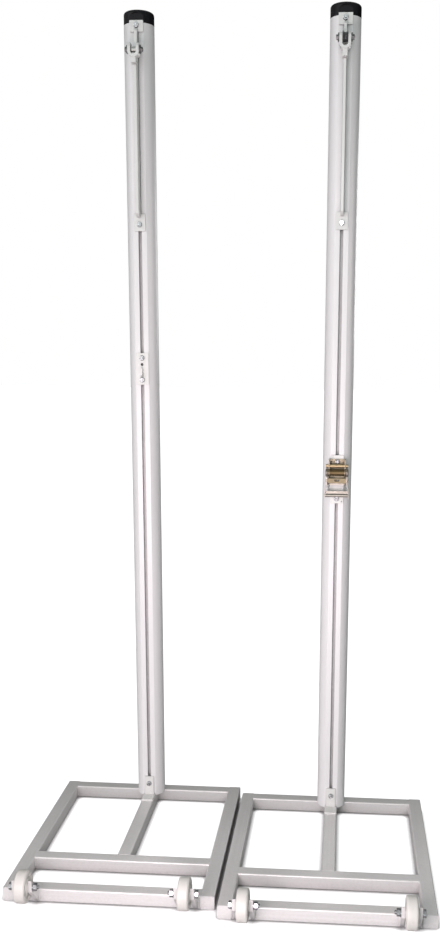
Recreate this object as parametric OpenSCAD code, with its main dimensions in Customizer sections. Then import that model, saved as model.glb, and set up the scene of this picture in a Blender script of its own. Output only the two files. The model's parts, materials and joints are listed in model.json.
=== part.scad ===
// A pair of mobile volleyball posts: two wheeled steel bases, each with a slotted aluminium post.
// The left post carries a cord fork and a tie plate, the right one a pulley and a webbing ratchet.
// Millimetres. +X is right, +Y is back, +Z is up; the origin is on the floor, under the middle.

/* [Base frame] */
// Width of one base over its side bars
base_w = 600; // [500:10:800]
// Depth of one base, front to back
base_l = 700; // [600:10:900]
// Side of the square tube
tube = 40; // [36:1:50]
// Wall of the square tube
tube_wall = 2.5; // [1.5:0.5:3.5]
// Radius of the tube's outer corners
tube_corner = 4; // [4:0.5:7]
// Thickness of the plates that close the side bars
end_t = 3; // [2:0.5:6]
// From the front of the base to the inner crossbar
crossbar_set = 172; // [140:2:240]
// Gap between the two bases
pair_gap = 12; // [4:1:600]
// How far the right unit stands ahead of the left one
pair_shift = 43; // [0:1:200]

/* [Transport wheels] */
// Wheel diameter
wheel_d = 90; // [70:1:110]
// Wheel width over the tread
wheel_w = 32; // [24:1:40]
// Radius of the tread's edges
wheel_edge = 7; // [3:0.5:9]
// Radius of the groove in the wheel's sides
wheel_groove = 5; // [3:0.5:7]
// From the side of the base to the middle of the wheel
wheel_inset = 76; // [60:1:110]
// Height of the wheel's axle above the floor
axle_h = 74; // [60:1:90]
// How far the axle lies ahead of the front bar
axle_out = 48; // [40:1:70]
// Thickness of the ears that hold the wheel
ear_t = 10; // [5:1:14]
// Plate of the ear ahead of the axle
ear_front = 12; // [9:1:20]
// Plate of the ear above the axle
ear_over = 23; // [20:1:30]
// Plate of the ear below the axle
ear_under = 10; // [8:1:20]
// Diameter of the axle bolt
axle_d = 12; // [8:1:14]
// Outside diameter of the sleeve the wheel turns on
sleeve_d = 16; // [15:1:20]

/* [Post] */
// Top of the cap above the floor
post_top = 2500; // [2400:10:2700]
// Outside diameter of the post
post_d = 90; // [84:1:100]
// Wall of the post
post_wall = 3.5; // [2.5:0.5:5]
// Width of the flat down the front of the post
flat_w = 41; // [40:1:46]
// Width of the slot
slot_w = 10; // [9:0.5:12]
// Thickness of the slot's lips
lip_t = 4; // [3:0.5:5]
// Width of the groove behind the lips
groove_w = 24; // [20:1:26]
// Depth of the groove behind the lips
groove_d = 9; // [7:0.5:11]
// Wall round the groove
groove_wall = 3; // [2:0.5:4]
// Height of the cap over the end of the post
cap_h = 36; // [30:1:60]
// Radius of the cap's top edge
cap_edge = 8; // [6:1:12]
// Wall of the cap
cap_wall = 4; // [3:0.5:5]
// How deep the cap's collar sits in the post
collar_h = 30; // [15:1:50]
// Height of the locating ring in the foot of the post
locator_h = 60; // [30:5:120]
// Thickness of the locating ring
locator_t = 5; // [3:0.5:8]

/* [Foot bracket] */
// Height of the bracket's upright leg above the base
foot_h = 68; // [60:1:90]
// Width of the bracket's upright leg
foot_leg_w = 30; // [24:1:40]
// Length of the bracket's foot ahead of the post
foot_reach = 48; // [30:1:70]
// Thickness of the bracket
foot_t = 6; // [4:0.5:8]
// Height of the foot bolt above the base
foot_bolt_h = 44; // [34:1:50]

/* [Height slider] */
// From the top of the post to the top of the slider
slider_drop = 30; // [29:1:60]
// Length of the slider over its clamp plates
slider_h = 594; // [500:2:700]
// Height of the top clamp plate
top_plate_h = 32; // [30:1:40]
// Height of the lower clamp plate
low_plate_h = 50; // [46:1:70]
// Width of the lower clamp plate
low_plate_w = 36; // [30:1:40]
// Thickness of the clamp plates
plate_t = 5; // [3:0.5:8]
// Thickness of the slider's bar
bar_t = 9; // [6:0.5:12]
// Depth of the slider's bar, away from the post
bar_depth = 32; // [26:1:40]
// How far the slider comes down
slider_travel = 350; // [200:10:400]
// From the top of the slider to the step that carries the fork
step_drop = 128; // [122:1:160]
// From the top of the slider to the pulley's axle
pulley_drop = 77; // [70:1:80]
// From the top of the slider to the cord roller's pin
roller_drop = 91; // [86:1:94]

/* [Forks, pulley and cord roller] */
// Thickness of the fork's strip
fork_t = 8.5; // [5:0.5:10]
// Depth of the fork's strip
fork_depth = 28; // [24:1:34]
// From the post's flat to the forks' pins
pin_out = 45; // [42:1:50]
// Diameter of the pins
pin_d = 8; // [6:0.5:10]
// Diameter of the pulley wheel
pulley_d = 36; // [30:1:40]
// Width of the pulley wheel
pulley_w = 15.6; // [12:0.2:18]
// Radius of the pulley wheel's groove
pulley_groove = 6; // [4:0.5:7]
// Outside diameter of the pulley's bush
bush_d = 12; // [11:0.5:14]
// Height of the cord fork's cheeks over the roller's pin
roller_rise = 18; // [17:1:22]
// Diameter of the cord roller
roller_d = 16; // [14:1:20]
// Thickness of the spacers beside the forks
spacer_t = 4; // [1.5:0.5:5]
// Diameter of the spacers beside the forks
spacer_d = 24; // [16:1:26]

/* [Tie plate] */
// Height of the tie plate
tie_h = 97; // [94:1:120]
// Thickness of the tie plate
tie_t = 4; // [3:0.5:6]
// Space between the slider at its lowest and the tie plate
tie_gap = 14; // [4:1:40]
// From the tie plate's ends to its bolts
tie_bolt_set = 15; // [12:1:18]
// Diameter of the eye
eye_d = 9; // [6:0.5:12]
// How far the hook stands out from the tie plate
hook_out = 16; // [13:1:24]
// Height of the hook's tip over its floor
hook_rise = 16; // [10:1:20]
// Thickness of the hook
hook_w = 6; // [4:0.5:9]

/* [Ratchet] */
// Height of the ratchet's spool above the floor
ratchet_z = 1157; // [1000:1:1180]
// From the post's flat to the spool's axis
spool_out = 28; // [27:0.5:32]
// Diameter of the spool
spool_d = 20; // [16:1:20]
// Width of the slit that takes the webbing
spool_slit = 3; // [2:0.5:4]
// Width between the ratchet frame's sides
frame_in = 46; // [40:1:50]
// Thickness of the ratchet's pressed plates
press_t = 2.5; // [2:0.5:3]
// Thickness of the toothed wheels
gear_t = 3; // [2:0.5:4]
// Radius over the teeth
gear_r = 14; // [13.5:0.5:15]
// Depth of the teeth
tooth_depth = 2.2; // [1.5:0.1:2.4]
// Number of teeth on each wheel
teeth = 12; // [8:1:16]
// Length of the handle, spool to grip
handle_l = 71; // [68:1:90]
// How far the handle's arms splay out at the grip
splay = 4.8; // [2:0.2:8]
// Diameter of the grip
grip_d = 10.8; // [8:0.2:12]
// Thickness of the pawls
pawl_t = 3.4; // [2:0.2:4]
// How far a pawl draws back
pawl_travel = 5; // [3:0.5:5]
// Height of the mounting plate
mount_h = 150; // [146:1:180]
// Thickness of the mounting plate
mount_t = 4; // [3:0.5:6]
// Diameter of the small hole in the mounting plate's corner
corner_hole_d = 4; // [2:0.5:5]
// Wire of the pawls' springs
spring_wire = 0.9; // [0.6:0.1:1]

/* [Fits] */
// Gap between the post and what slides on it
slide_gap = 0.3; // [0.2:0.05:0.6]
// Radial gap between a pin and what turns on it
run_gap = 0.05; // [0.02:0.01:0.1]
// Radial gap between a bolt and its clearance hole
hole_gap = 0.2; // [0.1:0.05:0.5]
// Side gap between parts that turn beside each other
side_gap = 0.4; // [0.3:0.05:0.6]
// Gap between the pawls and the teeth
tooth_gap = 0.6; // [0.4:0.1:1]

/* [Fasteners] */
// Diameter of the slot bolts
slot_bolt_d = 8; // [6:1:8]
// Width across flats of a slot bolt's nut
nut_flats = 13; // [10:1:14]
// Height of a slot bolt's nut
nut_h = 6.5; // [5:0.5:8]
// Diameter of a slot bolt's washer
washer_d = 16; // [16:1:18]
// Thickness of the washers
washer_t = 1.6; // [1:0.2:2.4]
// Height of a slot bolt's head in the groove
tee_h = 18; // [14:1:20]
// Width across flats of an axle nut
axle_flats = 19; // [15:1:20]

/* [Hidden] */
$fn = 64;
cut = 1;
// Placing of the two units
unit_dx = (base_w + pair_gap)/2;
front_reach = wheel_d/2 + axle_out;
mid_y = (base_l - pair_shift - front_reach)/2;
function unit_y(side) = -mid_y - (side > 0 ? pair_shift : 0);
// Post
post_r = post_d/2;
post_y = base_l - post_r;
flat_set = sqrt(post_r*post_r - flat_w*flat_w/4);
flat_y = post_y - flat_set;
post_end = post_top - cap_h;
bore_r = post_r - post_wall;
groove_back = flat_set - lip_t - groove_d;
ring_r = bore_r - slide_gap;
ring_front = groove_back - groove_wall - 1;
// Wheels
ear_gap = wheel_w + 4;
hub_w = ear_gap - 2*side_gap;
hub_r = sleeve_d/2 + 7;
axle_head_h = 8;
axle_nut_h = 10;
axle_washer_d = 24;
axle_washer_t = 2.5;
ear_reach = axle_out + ear_front;
// Slider
slider_top = post_top - slider_drop;
slider_low = slider_top - slider_h;
top_bolt_z = slider_top - top_plate_h/2 + 2;
low_bolt_z = slider_low + low_plate_h/2 - 6;
bar_back = slide_gap + plate_t;
bar_front = bar_back + bar_depth;
spine_front = bar_back + 14.5;
step_z = slider_top - step_drop;
bar_top = top_bolt_z - washer_d/2 - 2;
bar_low = low_bolt_z + washer_d/2 + 12;
fork_in = pulley_w + 2*side_gap + 0.2;
stem_w = 14;
// Tie plate
tie_top = slider_low - slider_travel - tie_gap;
tie_low = tie_top - tie_h;
// Ratchet
mount_top = 51;
mount_low = mount_top - mount_h;
mount_face = slide_gap + mount_t;
frame_face = mount_face + press_t;
frame_top = 40;
frame_low = -20;
ratchet_bolt_z = 32;
mount_bolt_z = mount_low + 15;
frame_out = frame_in/2 + press_t;
gear_in = frame_out + side_gap;
gear_out = gear_in + gear_t;
arm_in = gear_out + side_gap;
arm_out = arm_in + press_t;
spool_half = arm_out + side_gap + washer_t + 1;
pawl_near = gear_r + tooth_gap;
pawl_h = 11.4;
drive_h = 18.4;
drive_far = pawl_near + drive_h;
tab_near = pawl_near + 5.4;
tab_h = 9;
web_near = handle_l - 14;
web_h = 8;
splay_start = 36;
splay_end = 50;
pawl_half = arm_out + 2.2;
spring_r = 2.6;
drive_spring_x = arm_in - spring_r - 1.9;
lug_w = 9;
lug_t = 2;
lock_spring_x = frame_in/2 - lug_w/2 + 0.5;

// ---- Shared shapes ----

// Rectangle with round corners, centred, with true arcs
module round_rect(w, h, r) {
  square([w - 2*r, h], center = true);
  square([w, h - 2*r], center = true);
  for (sx = [-1, 1])
    for (sy = [-1, 1])
      translate([sx*(w/2 - r), sy*(h/2 - r)]) circle(r = r);
}

// Square tube of the given length along X, centred on X, resting on the floor, front face at y = 0
module tube_x(length) {
  translate([-length/2, tube/2, tube/2])
    rotate([90, 0, 90])
      linear_extrude(length)
        difference() {
          round_rect(tube, tube, tube_corner);
          round_rect(tube - 2*tube_wall, tube - 2*tube_wall, tube_corner - tube_wall);
        }
}

// The same tube along Y, centred on X, from y = 0 back
module tube_y(length) {
  translate([0, length, tube/2])
    rotate([90, 0, 0])
      linear_extrude(length)
        difference() {
          round_rect(tube, tube, tube_corner);
          round_rect(tube - 2*tube_wall, tube - 2*tube_wall, tube_corner - tube_wall);
        }
}

// Moves to one unit: the middle of its base, at the front face of the front bar; side is -1 or 1
module at_unit(side) {
  translate([side*unit_dx, unit_y(side), 0]) children();
}

// Moves to the middle of a post's flat at height z; -Y then points away from the post
module at_flat(side, z) {
  at_unit(side) translate([0, flat_y, z]) children();
}

// Moves to a distance out from the post's flat
module out(distance) {
  translate([0, -distance, 0]) children();
}

// A rod along X, centred
module rod_x(r, length) {
  rotate([0, 90, 0]) cylinder(r = r, h = length, center = true);
}

// A rod along -Y, away from the post, from the flat's plane
module rod_out(r, length) {
  rotate([90, 0, 0]) cylinder(r = r, h = length);
}

// Extrudes an outline drawn as (distance out, height) along X, centred
module side_outline(width) {
  rotate([90, 0, -90]) linear_extrude(width, center = true) children();
}

// Hexagon nut along -Y with a bore
module hex_out(flats, height, bore_r) {
  rotate([90, 0, 0])
    difference() {
      cylinder(r = flats/sqrt(3), h = height, $fn = 6);
      translate([0, 0, -cut]) cylinder(r = bore_r, h = height + 2*cut);
    }
}

// Slot bolt: a tee head in the groove, a neck in the slot, and a shank out through stack, with washer and nut
module slot_bolt(stack) {
  shank_r = slot_bolt_d/2;
  head_w = groove_w - 1.2;
  head_t = groove_d - 1.4;
  neck_w = slot_w - 0.8;
  // tee head, neck and shank in one piece
  translate([-head_w/2, lip_t + slide_gap, -tee_h/2]) cube([head_w, head_t, tee_h]);
  translate([-neck_w/2, 0.5, -neck_w/2]) cube([neck_w, lip_t + slide_gap - 0.5 + 0.01, neck_w]);
  translate([0, lip_t, 0]) rod_out(shank_r, lip_t + stack + washer_t + nut_h + 3);
  // washer
  out(stack)
    difference() {
      rod_out(washer_d/2, washer_t);
      translate([0, cut, 0]) rod_out(shank_r + run_gap, washer_t + 2*cut);
    }
  // nut
  out(stack + washer_t) hex_out(nut_flats, nut_h, shank_r + run_gap);
}

// ---- Base frame ----

bar_span = base_w - 2*tube;

module cross_tube(side, y, colour) {
  color(colour) at_unit(side) translate([0, y, 0]) tube_x(bar_span);
}

module side_tube(side, hand) {
  color([0.75, 0.76, 0.77])
    at_unit(side)
      translate([hand*(base_w/2 - tube/2), end_t, 0]) tube_y(base_l - 2*end_t);
}

module centre_tube(side) {
  color([0.72, 0.73, 0.74])
    at_unit(side)
      translate([0, crossbar_set + tube, 0]) tube_y(base_l - crossbar_set - 2*tube);
}

module tube_end_plates() {
  color([0.78, 0.79, 0.8])
    for (side = [-1, 1])
      for (hand = [-1, 1])
        for (y = [0, base_l - end_t])
          at_unit(side)
            translate([hand*(base_w/2 - tube/2), y + end_t, tube/2])
              rotate([90, 0, 0])
                linear_extrude(end_t) round_rect(tube, tube, tube_corner);
}

// ---- Foot of the post ----

module foot_bracket(side) {
  foot_w = tube - 2;
  color([0.8, 0.8, 0.81])
    at_flat(side, tube)
      difference() {
        union() {
          // upright leg against the flat
          translate([-foot_leg_w/2, -foot_t, 0]) cube([foot_leg_w, foot_t, foot_h]);
          // foot on the centre bar
          translate([-foot_w/2, -foot_reach, 0]) cube([foot_w, foot_reach, foot_t]);
        }
        translate([0, cut, foot_bolt_h]) rod_out(slot_bolt_d/2 + hole_gap, foot_t + 2*cut);
      }
}

module foot_bolts() {
  color([0.7, 0.71, 0.72])
    for (side = [-1, 1])
      at_flat(side, tube + foot_bolt_h) slot_bolt(foot_t);
}

// Ring that fits inside the post, open in front for the groove's channel
module inner_ring(height, wall) {
  difference() {
    cylinder(r = ring_r, h = height);
    translate([0, 0, -cut]) cylinder(r = ring_r - wall, h = height + 2*cut);
    translate([-post_d, -2*post_d - ring_front, -cut]) cube([2*post_d, 2*post_d, height + 2*cut]);
  }
}

// Rings welded to the bases that centre the posts
module post_locators() {
  color([0.5, 0.5, 0.52])
    for (side = [-1, 1])
      at_unit(side)
        translate([0, post_y, tube]) inner_ring(locator_h, locator_t);
}

// ---- Post and cap ----

// Half plane in front of the given distance from the post's axis
module ahead_of(distance) {
  translate([-post_d, -2*post_d - distance]) square([2*post_d, 2*post_d]);
}

// The post's cross-section: round, flat in front, with a groove behind a slot
module post_section() {
  channel_w = groove_w + 2*groove_wall;
  difference() {
    union() {
      difference() {
        circle(r = post_r);
        circle(r = bore_r);
      }
      // flat wall with the slot, and the channel behind it
      intersection() {
        circle(r = post_r - post_wall/2);
        union() {
          translate([-post_r, -flat_set]) square([post_d, lip_t]);
          translate([-channel_w/2, -flat_set]) square([channel_w, lip_t + groove_d + groove_wall]);
        }
      }
    }
    ahead_of(flat_set);
    translate([-groove_w/2, -flat_set + lip_t]) square([groove_w, groove_d]);
    translate([-slot_w/2, -flat_set - cut]) square([slot_w, lip_t + 2*cut]);
  }
}

module post(side) {
  color([0.93, 0.93, 0.94])
    at_unit(side)
      translate([0, post_y, tube]) linear_extrude(post_end - tube) post_section();
}

module post_cap(side) {
  hollow_r = ring_r - cap_wall;
  slot_top = max(top_bolt_z - post_end + slot_w/2 + 3, slot_w);
  arch_r = max(cap_h - cap_edge, flat_w/2 + 2);
  color([0.08, 0.08, 0.09])
    at_unit(side)
      translate([0, post_y, post_end])
        difference() {
          union() {
            // round body with a round top edge
            rotate_extrude()
              union() {
                square([post_r, cap_h - cap_edge]);
                square([post_r - cap_edge, cap_h]);
                translate([post_r - cap_edge, cap_h - cap_edge]) circle(r = cap_edge);
              }
            // collar in the post
            translate([0, 0, -collar_h]) inner_ring(collar_h + 1, cap_wall);
          }
          // flat front, arched at the top so that the rim above it stays round
          translate([0, -flat_set, 0]) rotate([90, 0, 0]) cylinder(r = arch_r, h = post_d);
          // hollow behind the flat front wall
          difference() {
            translate([0, 0, -cut]) cylinder(r = hollow_r, h = cap_h - cap_wall + cut);
            translate([-post_d, -2*post_d - flat_set + cap_wall, -2*cut]) cube([2*post_d, 2*post_d, cap_h + 3*cut]);
          }
          // end of the slot and of the groove behind it, for the slider's top bolt
          translate([-slot_w/2, -post_r, -cut]) cube([slot_w, post_r - flat_set + cap_wall + cut, slot_top + cut]);
          translate([-groove_w/2, cap_wall - flat_set, -cut]) cube([groove_w, groove_d, cap_h - cap_wall + cut]);
        }
}

// ---- Transport wheels ----

// Moves to a wheel's middle; hand -1 is the unit's left wheel
module at_wheel(side, hand) {
  at_unit(side) translate([hand*(base_w/2 - wheel_inset), -axle_out, axle_h]) children();
}

module wheel_ears() {
  color([0.8, 0.8, 0.81])
    for (side = [-1, 1])
      for (hand = [-1, 1])
        for (x = [-1, 1])
          at_wheel(side, hand)
            translate([x*(ear_gap/2 + ear_t/2), axle_out, -axle_h])
              difference() {
                side_outline(ear_t)
                  polygon([[0, 1], [0, tube - 1], [ear_reach, axle_h + ear_over], [ear_reach, axle_h - ear_under]]);
                translate([0, -axle_out, axle_h]) rod_x(axle_d/2 + hole_gap, ear_t + 2*cut);
              }
}

module wheel_sleeves() {
  color([0.6, 0.61, 0.62])
    for (side = [-1, 1])
      for (hand = [-1, 1])
        at_wheel(side, hand)
          difference() {
            rod_x(sleeve_d/2, ear_gap);
            rod_x(axle_d/2 + run_gap, ear_gap + 2*cut);
          }
}

// Axle bolt: head on the outside of the unit, thread towards its middle
module wheel_axle_bolts() {
  shank = ear_gap + 2*ear_t + 2*axle_washer_t + axle_nut_h + 5;
  color([0.72, 0.73, 0.74])
    for (side = [-1, 1])
      for (hand = [-1, 1])
        at_wheel(side, hand)
          rotate([0, 0, hand > 0 ? 0 : 180])
            translate([ear_gap/2 + ear_t + axle_washer_t, 0, 0]) {
              rotate([0, 90, 0]) cylinder(r = axle_flats/sqrt(3), h = axle_head_h, $fn = 6);
              rotate([0, -90, 0]) cylinder(r = axle_d/2, h = shank);
            }
}

module wheel_axle_nuts() {
  color([0.55, 0.55, 0.57])
    for (side = [-1, 1])
      for (hand = [-1, 1])
        at_wheel(side, hand)
          rotate([0, 0, hand > 0 ? 0 : 180])
            difference() {
              union() {
                for (x = [ear_gap/2 + ear_t, -ear_gap/2 - ear_t - axle_washer_t])
                  translate([x, 0, 0]) rotate([0, 90, 0]) cylinder(r = axle_washer_d/2, h = axle_washer_t);
                translate([-ear_gap/2 - ear_t - axle_washer_t - axle_nut_h, 0, 0])
                  rotate([0, 90, 0]) cylinder(r = axle_flats/sqrt(3), h = axle_nut_h, $fn = 6);
              }
              rod_x(axle_d/2 + run_gap, 2*ear_gap + 4*ear_t);
            }
}

module wheel(side, hand) {
  r = wheel_d/2;
  color([0.9, 0.88, 0.82])
    at_wheel(side, hand)
      rotate([0, 90, 0])
        difference() {
          rotate_extrude()
            union() {
              translate([0, -wheel_w/2 + wheel_edge]) square([r, wheel_w - 2*wheel_edge]);
              translate([0, -wheel_w/2]) square([r - wheel_edge, wheel_w]);
              for (s = [-1, 1])
                translate([r - wheel_edge, s*(wheel_w/2 - wheel_edge)]) circle(r = wheel_edge);
              translate([0, -hub_w/2]) square([hub_r, hub_w]);
            }
          // round groove in each side, between hub and tread
          for (s = [-1, 1])
            translate([0, 0, s*wheel_w/2])
              rotate_extrude()
                translate([(hub_r + r - wheel_edge)/2, 0]) circle(r = wheel_groove);
          cylinder(r = sleeve_d/2 + run_gap, h = 2*hub_w, center = true);
        }
}

// ---- Height sliders ----

module slider_plates(side) {
  bolt_hole = slot_bolt_d/2 + hole_gap;
  color([0.86, 0.86, 0.87])
    at_flat(side, 0) {
      difference() {
        translate([0, -slide_gap, slider_top - top_plate_h/2])
          rotate([90, 0, 0]) linear_extrude(plate_t) round_rect(flat_w, top_plate_h, 2);
        translate([0, 0, top_bolt_z]) rod_out(bolt_hole, 2*plate_t);
      }
      difference() {
        translate([0, -slide_gap, slider_low + low_plate_h/2])
          rotate([90, 0, 0]) linear_extrude(plate_t) round_rect(low_plate_w, low_plate_h, 2);
        translate([0, 0, low_bolt_z]) rod_out(bolt_hole, 2*plate_t);
      }
    }
}

// Flat bar on edge between the plates, stepped back to a spine behind the fork
module slider_bar(side) {
  color([0.84, 0.84, 0.85])
    at_flat(side, 0)
      side_outline(bar_t)
        polygon([
          [bar_back, bar_low], [bar_front - 9, bar_low], [bar_front, bar_low + 9], [bar_front, step_z],
          [spine_front, step_z], [spine_front, bar_top - 8], [spine_front - 8, bar_top], [bar_back, bar_top]
        ]);
}

module slider_bolts(side) {
  color([0.7, 0.71, 0.72])
    for (z = [top_bolt_z, low_bolt_z])
      at_flat(side, z) slot_bolt(bar_back);
}

// U-shaped fork on a square stem. Origin on the pin; rise is the height of the cheeks above it,
// drop the distance down to the middle of the bend.
module fork(rise, drop, pin_z) {
  half_out = fork_in/2 + fork_t;
  stem_back = pin_out - spine_front;
  difference() {
    union() {
      // bent strip
      intersection() {
        translate([0, fork_depth/2, 0])
          rotate([90, 0, 0])
            linear_extrude(fork_depth)
              difference() {
                union() {
                  translate([-half_out, -drop]) square([2*half_out, drop + rise + cut]);
                  translate([0, -drop]) circle(r = half_out);
                }
                translate([-fork_in/2, -drop]) square([fork_in, drop + rise + 2*cut]);
                translate([0, -drop]) circle(r = fork_in/2);
              }
        // cheeks rounded at the top
        side_outline(4*half_out)
          union() {
            translate([-fork_depth/2, -drop - half_out]) square([fork_depth, drop + half_out + rise - fork_depth/2]);
            translate([0, rise - fork_depth/2]) circle(r = fork_depth/2);
          }
      }
      // stem down to the step on the bar
      difference() {
        translate([-stem_w/2, -fork_depth/2 + 2, step_z - pin_z])
          cube([stem_w, stem_back + fork_depth/2 - 2, pin_z - step_z - drop]);
        translate([0, 0, -drop]) rotate([90, 0, 0]) cylinder(r = fork_in/2 + fork_t/2, h = 4*pin_out, center = true);
      }
    }
    rod_x(pin_d/2 + run_gap, 4*half_out);
  }
}

// Pin bolt with a head, two spacers and a nut, centred on the fork
module fork_pin() {
  half_out = fork_in/2 + fork_t;
  head_h = 5.3;
  face = half_out + spacer_t;
  difference() {
    union() {
      for (s = [-1, 1])
        translate([s*(half_out + spacer_t/2), 0, 0]) rod_x(spacer_d/2, spacer_t);
      translate([face, 0, 0]) rotate([0, 90, 0]) cylinder(r = nut_flats/sqrt(3), h = nut_h - 1, $fn = 6);
    }
    rod_x(pin_d/2 + run_gap, 4*face);
  }
  translate([-face - head_h, 0, 0]) rotate([0, 90, 0]) cylinder(r = nut_flats/sqrt(3), h = head_h, $fn = 6);
  translate([-face, 0, 0]) rotate([0, 90, 0]) cylinder(r = pin_d/2, h = 2*face + nut_h);
}

roller_z = slider_top - roller_drop;
pulley_z = slider_top - pulley_drop;

module left_cord_fork() {
  color([0.84, 0.85, 0.85]) at_flat(-1, roller_z) out(pin_out) fork(roller_rise, roller_d/2 - 2, roller_z);
}

module left_cord_roller() {
  color([0.8, 0.81, 0.8])
    at_flat(-1, roller_z)
      out(pin_out)
        difference() {
          rod_x(roller_d/2, pulley_w);
          rod_x(pin_d/2 + run_gap, 2*pulley_w);
        }
}

module left_fork_pin() {
  color([0.45, 0.45, 0.47]) at_flat(-1, roller_z) out(pin_out) fork_pin();
}

module right_pulley_fork() {
  color([0.84, 0.85, 0.85]) at_flat(1, pulley_z) out(pin_out) fork(fork_depth/2, pulley_d/2 - 2, pulley_z);
}

module right_pulley_wheel() {
  rim_r = 1.5;
  color([0.3, 0.3, 0.31])
    at_flat(1, pulley_z)
      out(pin_out)
        rotate([0, 90, 0])
          difference() {
            rotate_extrude()
              union() {
                translate([0, -pulley_w/2]) square([pulley_d/2 - rim_r, pulley_w]);
                for (s = [-1, 1])
                  translate([pulley_d/2 - rim_r, s*(pulley_w/2 - rim_r)]) circle(r = rim_r);
              }
            rotate_extrude()
              translate([pulley_d/2 + 1, 0]) circle(r = pulley_groove);
            cylinder(r = bush_d/2 + run_gap, h = 2*pulley_w, center = true);
          }
}

module right_pulley_bush() {
  color([0.78, 0.6, 0.35])
    at_flat(1, pulley_z)
      out(pin_out)
        difference() {
          rod_x(bush_d/2, fork_in);
          rod_x(pin_d/2 + run_gap, 2*fork_in);
        }
}

module right_pulley_pin() {
  color([0.35, 0.35, 0.37]) at_flat(1, pulley_z) out(pin_out) fork_pin();
}

// ---- Tie plate on the left post ----

hook_z = tie_low + tie_bolt_set + washer_d/2 + hook_w + 6;
eye_z = hook_z + hook_rise + 11;

module left_tie_plate() {
  face = slide_gap + tie_t;
  tip = face + hook_out;
  color([0.8, 0.79, 0.76])
    at_flat(-1, 0) {
      difference() {
        translate([0, -slide_gap, (tie_top + tie_low)/2])
          rotate([90, 0, 0]) linear_extrude(tie_t) round_rect(flat_w, tie_h, 3);
        for (z = [tie_top - tie_bolt_set, tie_low + tie_bolt_set])
          translate([0, 0, z]) rod_out(slot_bolt_d/2 + hole_gap, 2*face);
        translate([0, 0, eye_z]) rod_out(eye_d/2, 2*face);
      }
      // hook, open at the top
      side_outline(hook_w)
        polygon([
          [face - 1, hook_z - hook_w - 5], [tip - hook_w - 2, hook_z - hook_w - 5], [tip, hook_z - hook_w],
          [tip, hook_z + hook_rise], [tip - hook_w, hook_z + hook_rise], [tip - hook_w - 2, hook_z],
          [face - 1, hook_z]
        ]);
    }
}

module left_tie_bolts() {
  color([0.7, 0.71, 0.72])
    for (z = [tie_top - tie_bolt_set, tie_low + tie_bolt_set])
      at_flat(-1, z) slot_bolt(slide_gap + tie_t);
}

// ---- Ratchet on the right post ----

// Moves to the spool's axis
module at_spool() {
  at_flat(1, ratchet_z) out(spool_out) children();
}

// The frame's side as (distance out from the spool's axis, height above it)
module frame_side() {
  back = mount_face - spool_out;
  difference() {
    union() {
      polygon([
        [back, frame_low], [back, frame_top], [4, frame_top], [5, frame_top - 1.5], [5, 4], [0, 0], [-9, -9],
        [back + 4, frame_low]
      ]);
      circle(r = gear_r - 1);
    }
    circle(r = spool_d/2 + run_gap);
    // slot for the lock pawl
    translate([-pawl_t/2 - side_gap, pawl_near - side_gap])
      square([pawl_t + 2*side_gap, pawl_h + pawl_travel + 2*side_gap]);
  }
}

module ratchet_plate() {
  color([0.78, 0.78, 0.77])
    at_flat(1, ratchet_z)
      difference() {
        translate([0, -slide_gap, mount_low + mount_h/2])
          rotate([90, 0, 0]) linear_extrude(mount_t) round_rect(flat_w, mount_h, 3);
        for (z = [ratchet_bolt_z, mount_bolt_z])
          translate([0, 0, z]) rod_out(slot_bolt_d/2 + hole_gap, 2*mount_face);
        translate([flat_w/2 - 5, 0, mount_low + 6]) rod_out(corner_hole_d/2, 2*mount_face);
      }
}

module ratchet_plate_bolts() {
  color([0.7, 0.71, 0.72]) {
    at_flat(1, ratchet_z + ratchet_bolt_z) slot_bolt(frame_face);
    at_flat(1, ratchet_z + mount_bolt_z) slot_bolt(mount_face);
  }
}

module ratchet_frame() {
  color([0.72, 0.58, 0.3])
    at_spool() {
      for (s = [-1, 1])
        translate([s*(frame_in/2 + press_t/2), 0, 0]) side_outline(press_t) frame_side();
      // floor of the frame, on the mounting plate
      difference() {
        translate([-frame_in/2 - 0.5, spool_out - frame_face, frame_low])
          cube([frame_in + 1, press_t, frame_top - frame_low]);
        translate([0, spool_out, ratchet_bolt_z]) rod_out(slot_bolt_d/2 + hole_gap, 2*frame_face);
      }
      // lugs over the lock pawl's springs
      for (s = [-1, 1])
        translate([s*lock_spring_x - lug_w/2, -4, frame_top - lug_t]) cube([lug_w, 8, lug_t]);
    }
}

// Saw teeth: each rises along a slope and drops straight to the root
module gear_outline() {
  root_r = gear_r - tooth_depth;
  step = 360/teeth;
  polygon([
    for (i = [0 : teeth - 1])
      for (p = [[root_r, 0.04], [gear_r, 0.72], [gear_r, 0.9], [root_r, 0.98]])
        [p[0]*cos(step*(i + p[1])), p[0]*sin(step*(i + p[1]))]
  ]);
}

module ratchet_gears() {
  color([0.5, 0.38, 0.2])
    at_spool()
      for (s = [-1, 1])
        translate([s*(gear_in + gear_t/2), 0, 0])
          side_outline(gear_t)
            difference() {
              gear_outline();
              circle(r = spool_d/2 + 0.02);
            }
}

// Two half-round bars with the webbing's slit between them
module ratchet_spool() {
  color([0.55, 0.42, 0.22])
    at_spool()
      difference() {
        rod_x(spool_d/2, 2*spool_half);
        translate([-2*spool_half, -spool_slit/2, -spool_d]) cube([4*spool_half, spool_slit, 2*spool_d]);
      }
}

module ratchet_washers() {
  color([0.75, 0.6, 0.32])
    at_spool()
      difference() {
        for (s = [-1, 1])
          translate([s*(arm_out + side_gap + washer_t/2), 0, 0]) rod_x(spool_d/2 + 3, washer_t);
        rod_x(spool_d/2 + 0.02, 4*spool_half);
      }
}

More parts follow.
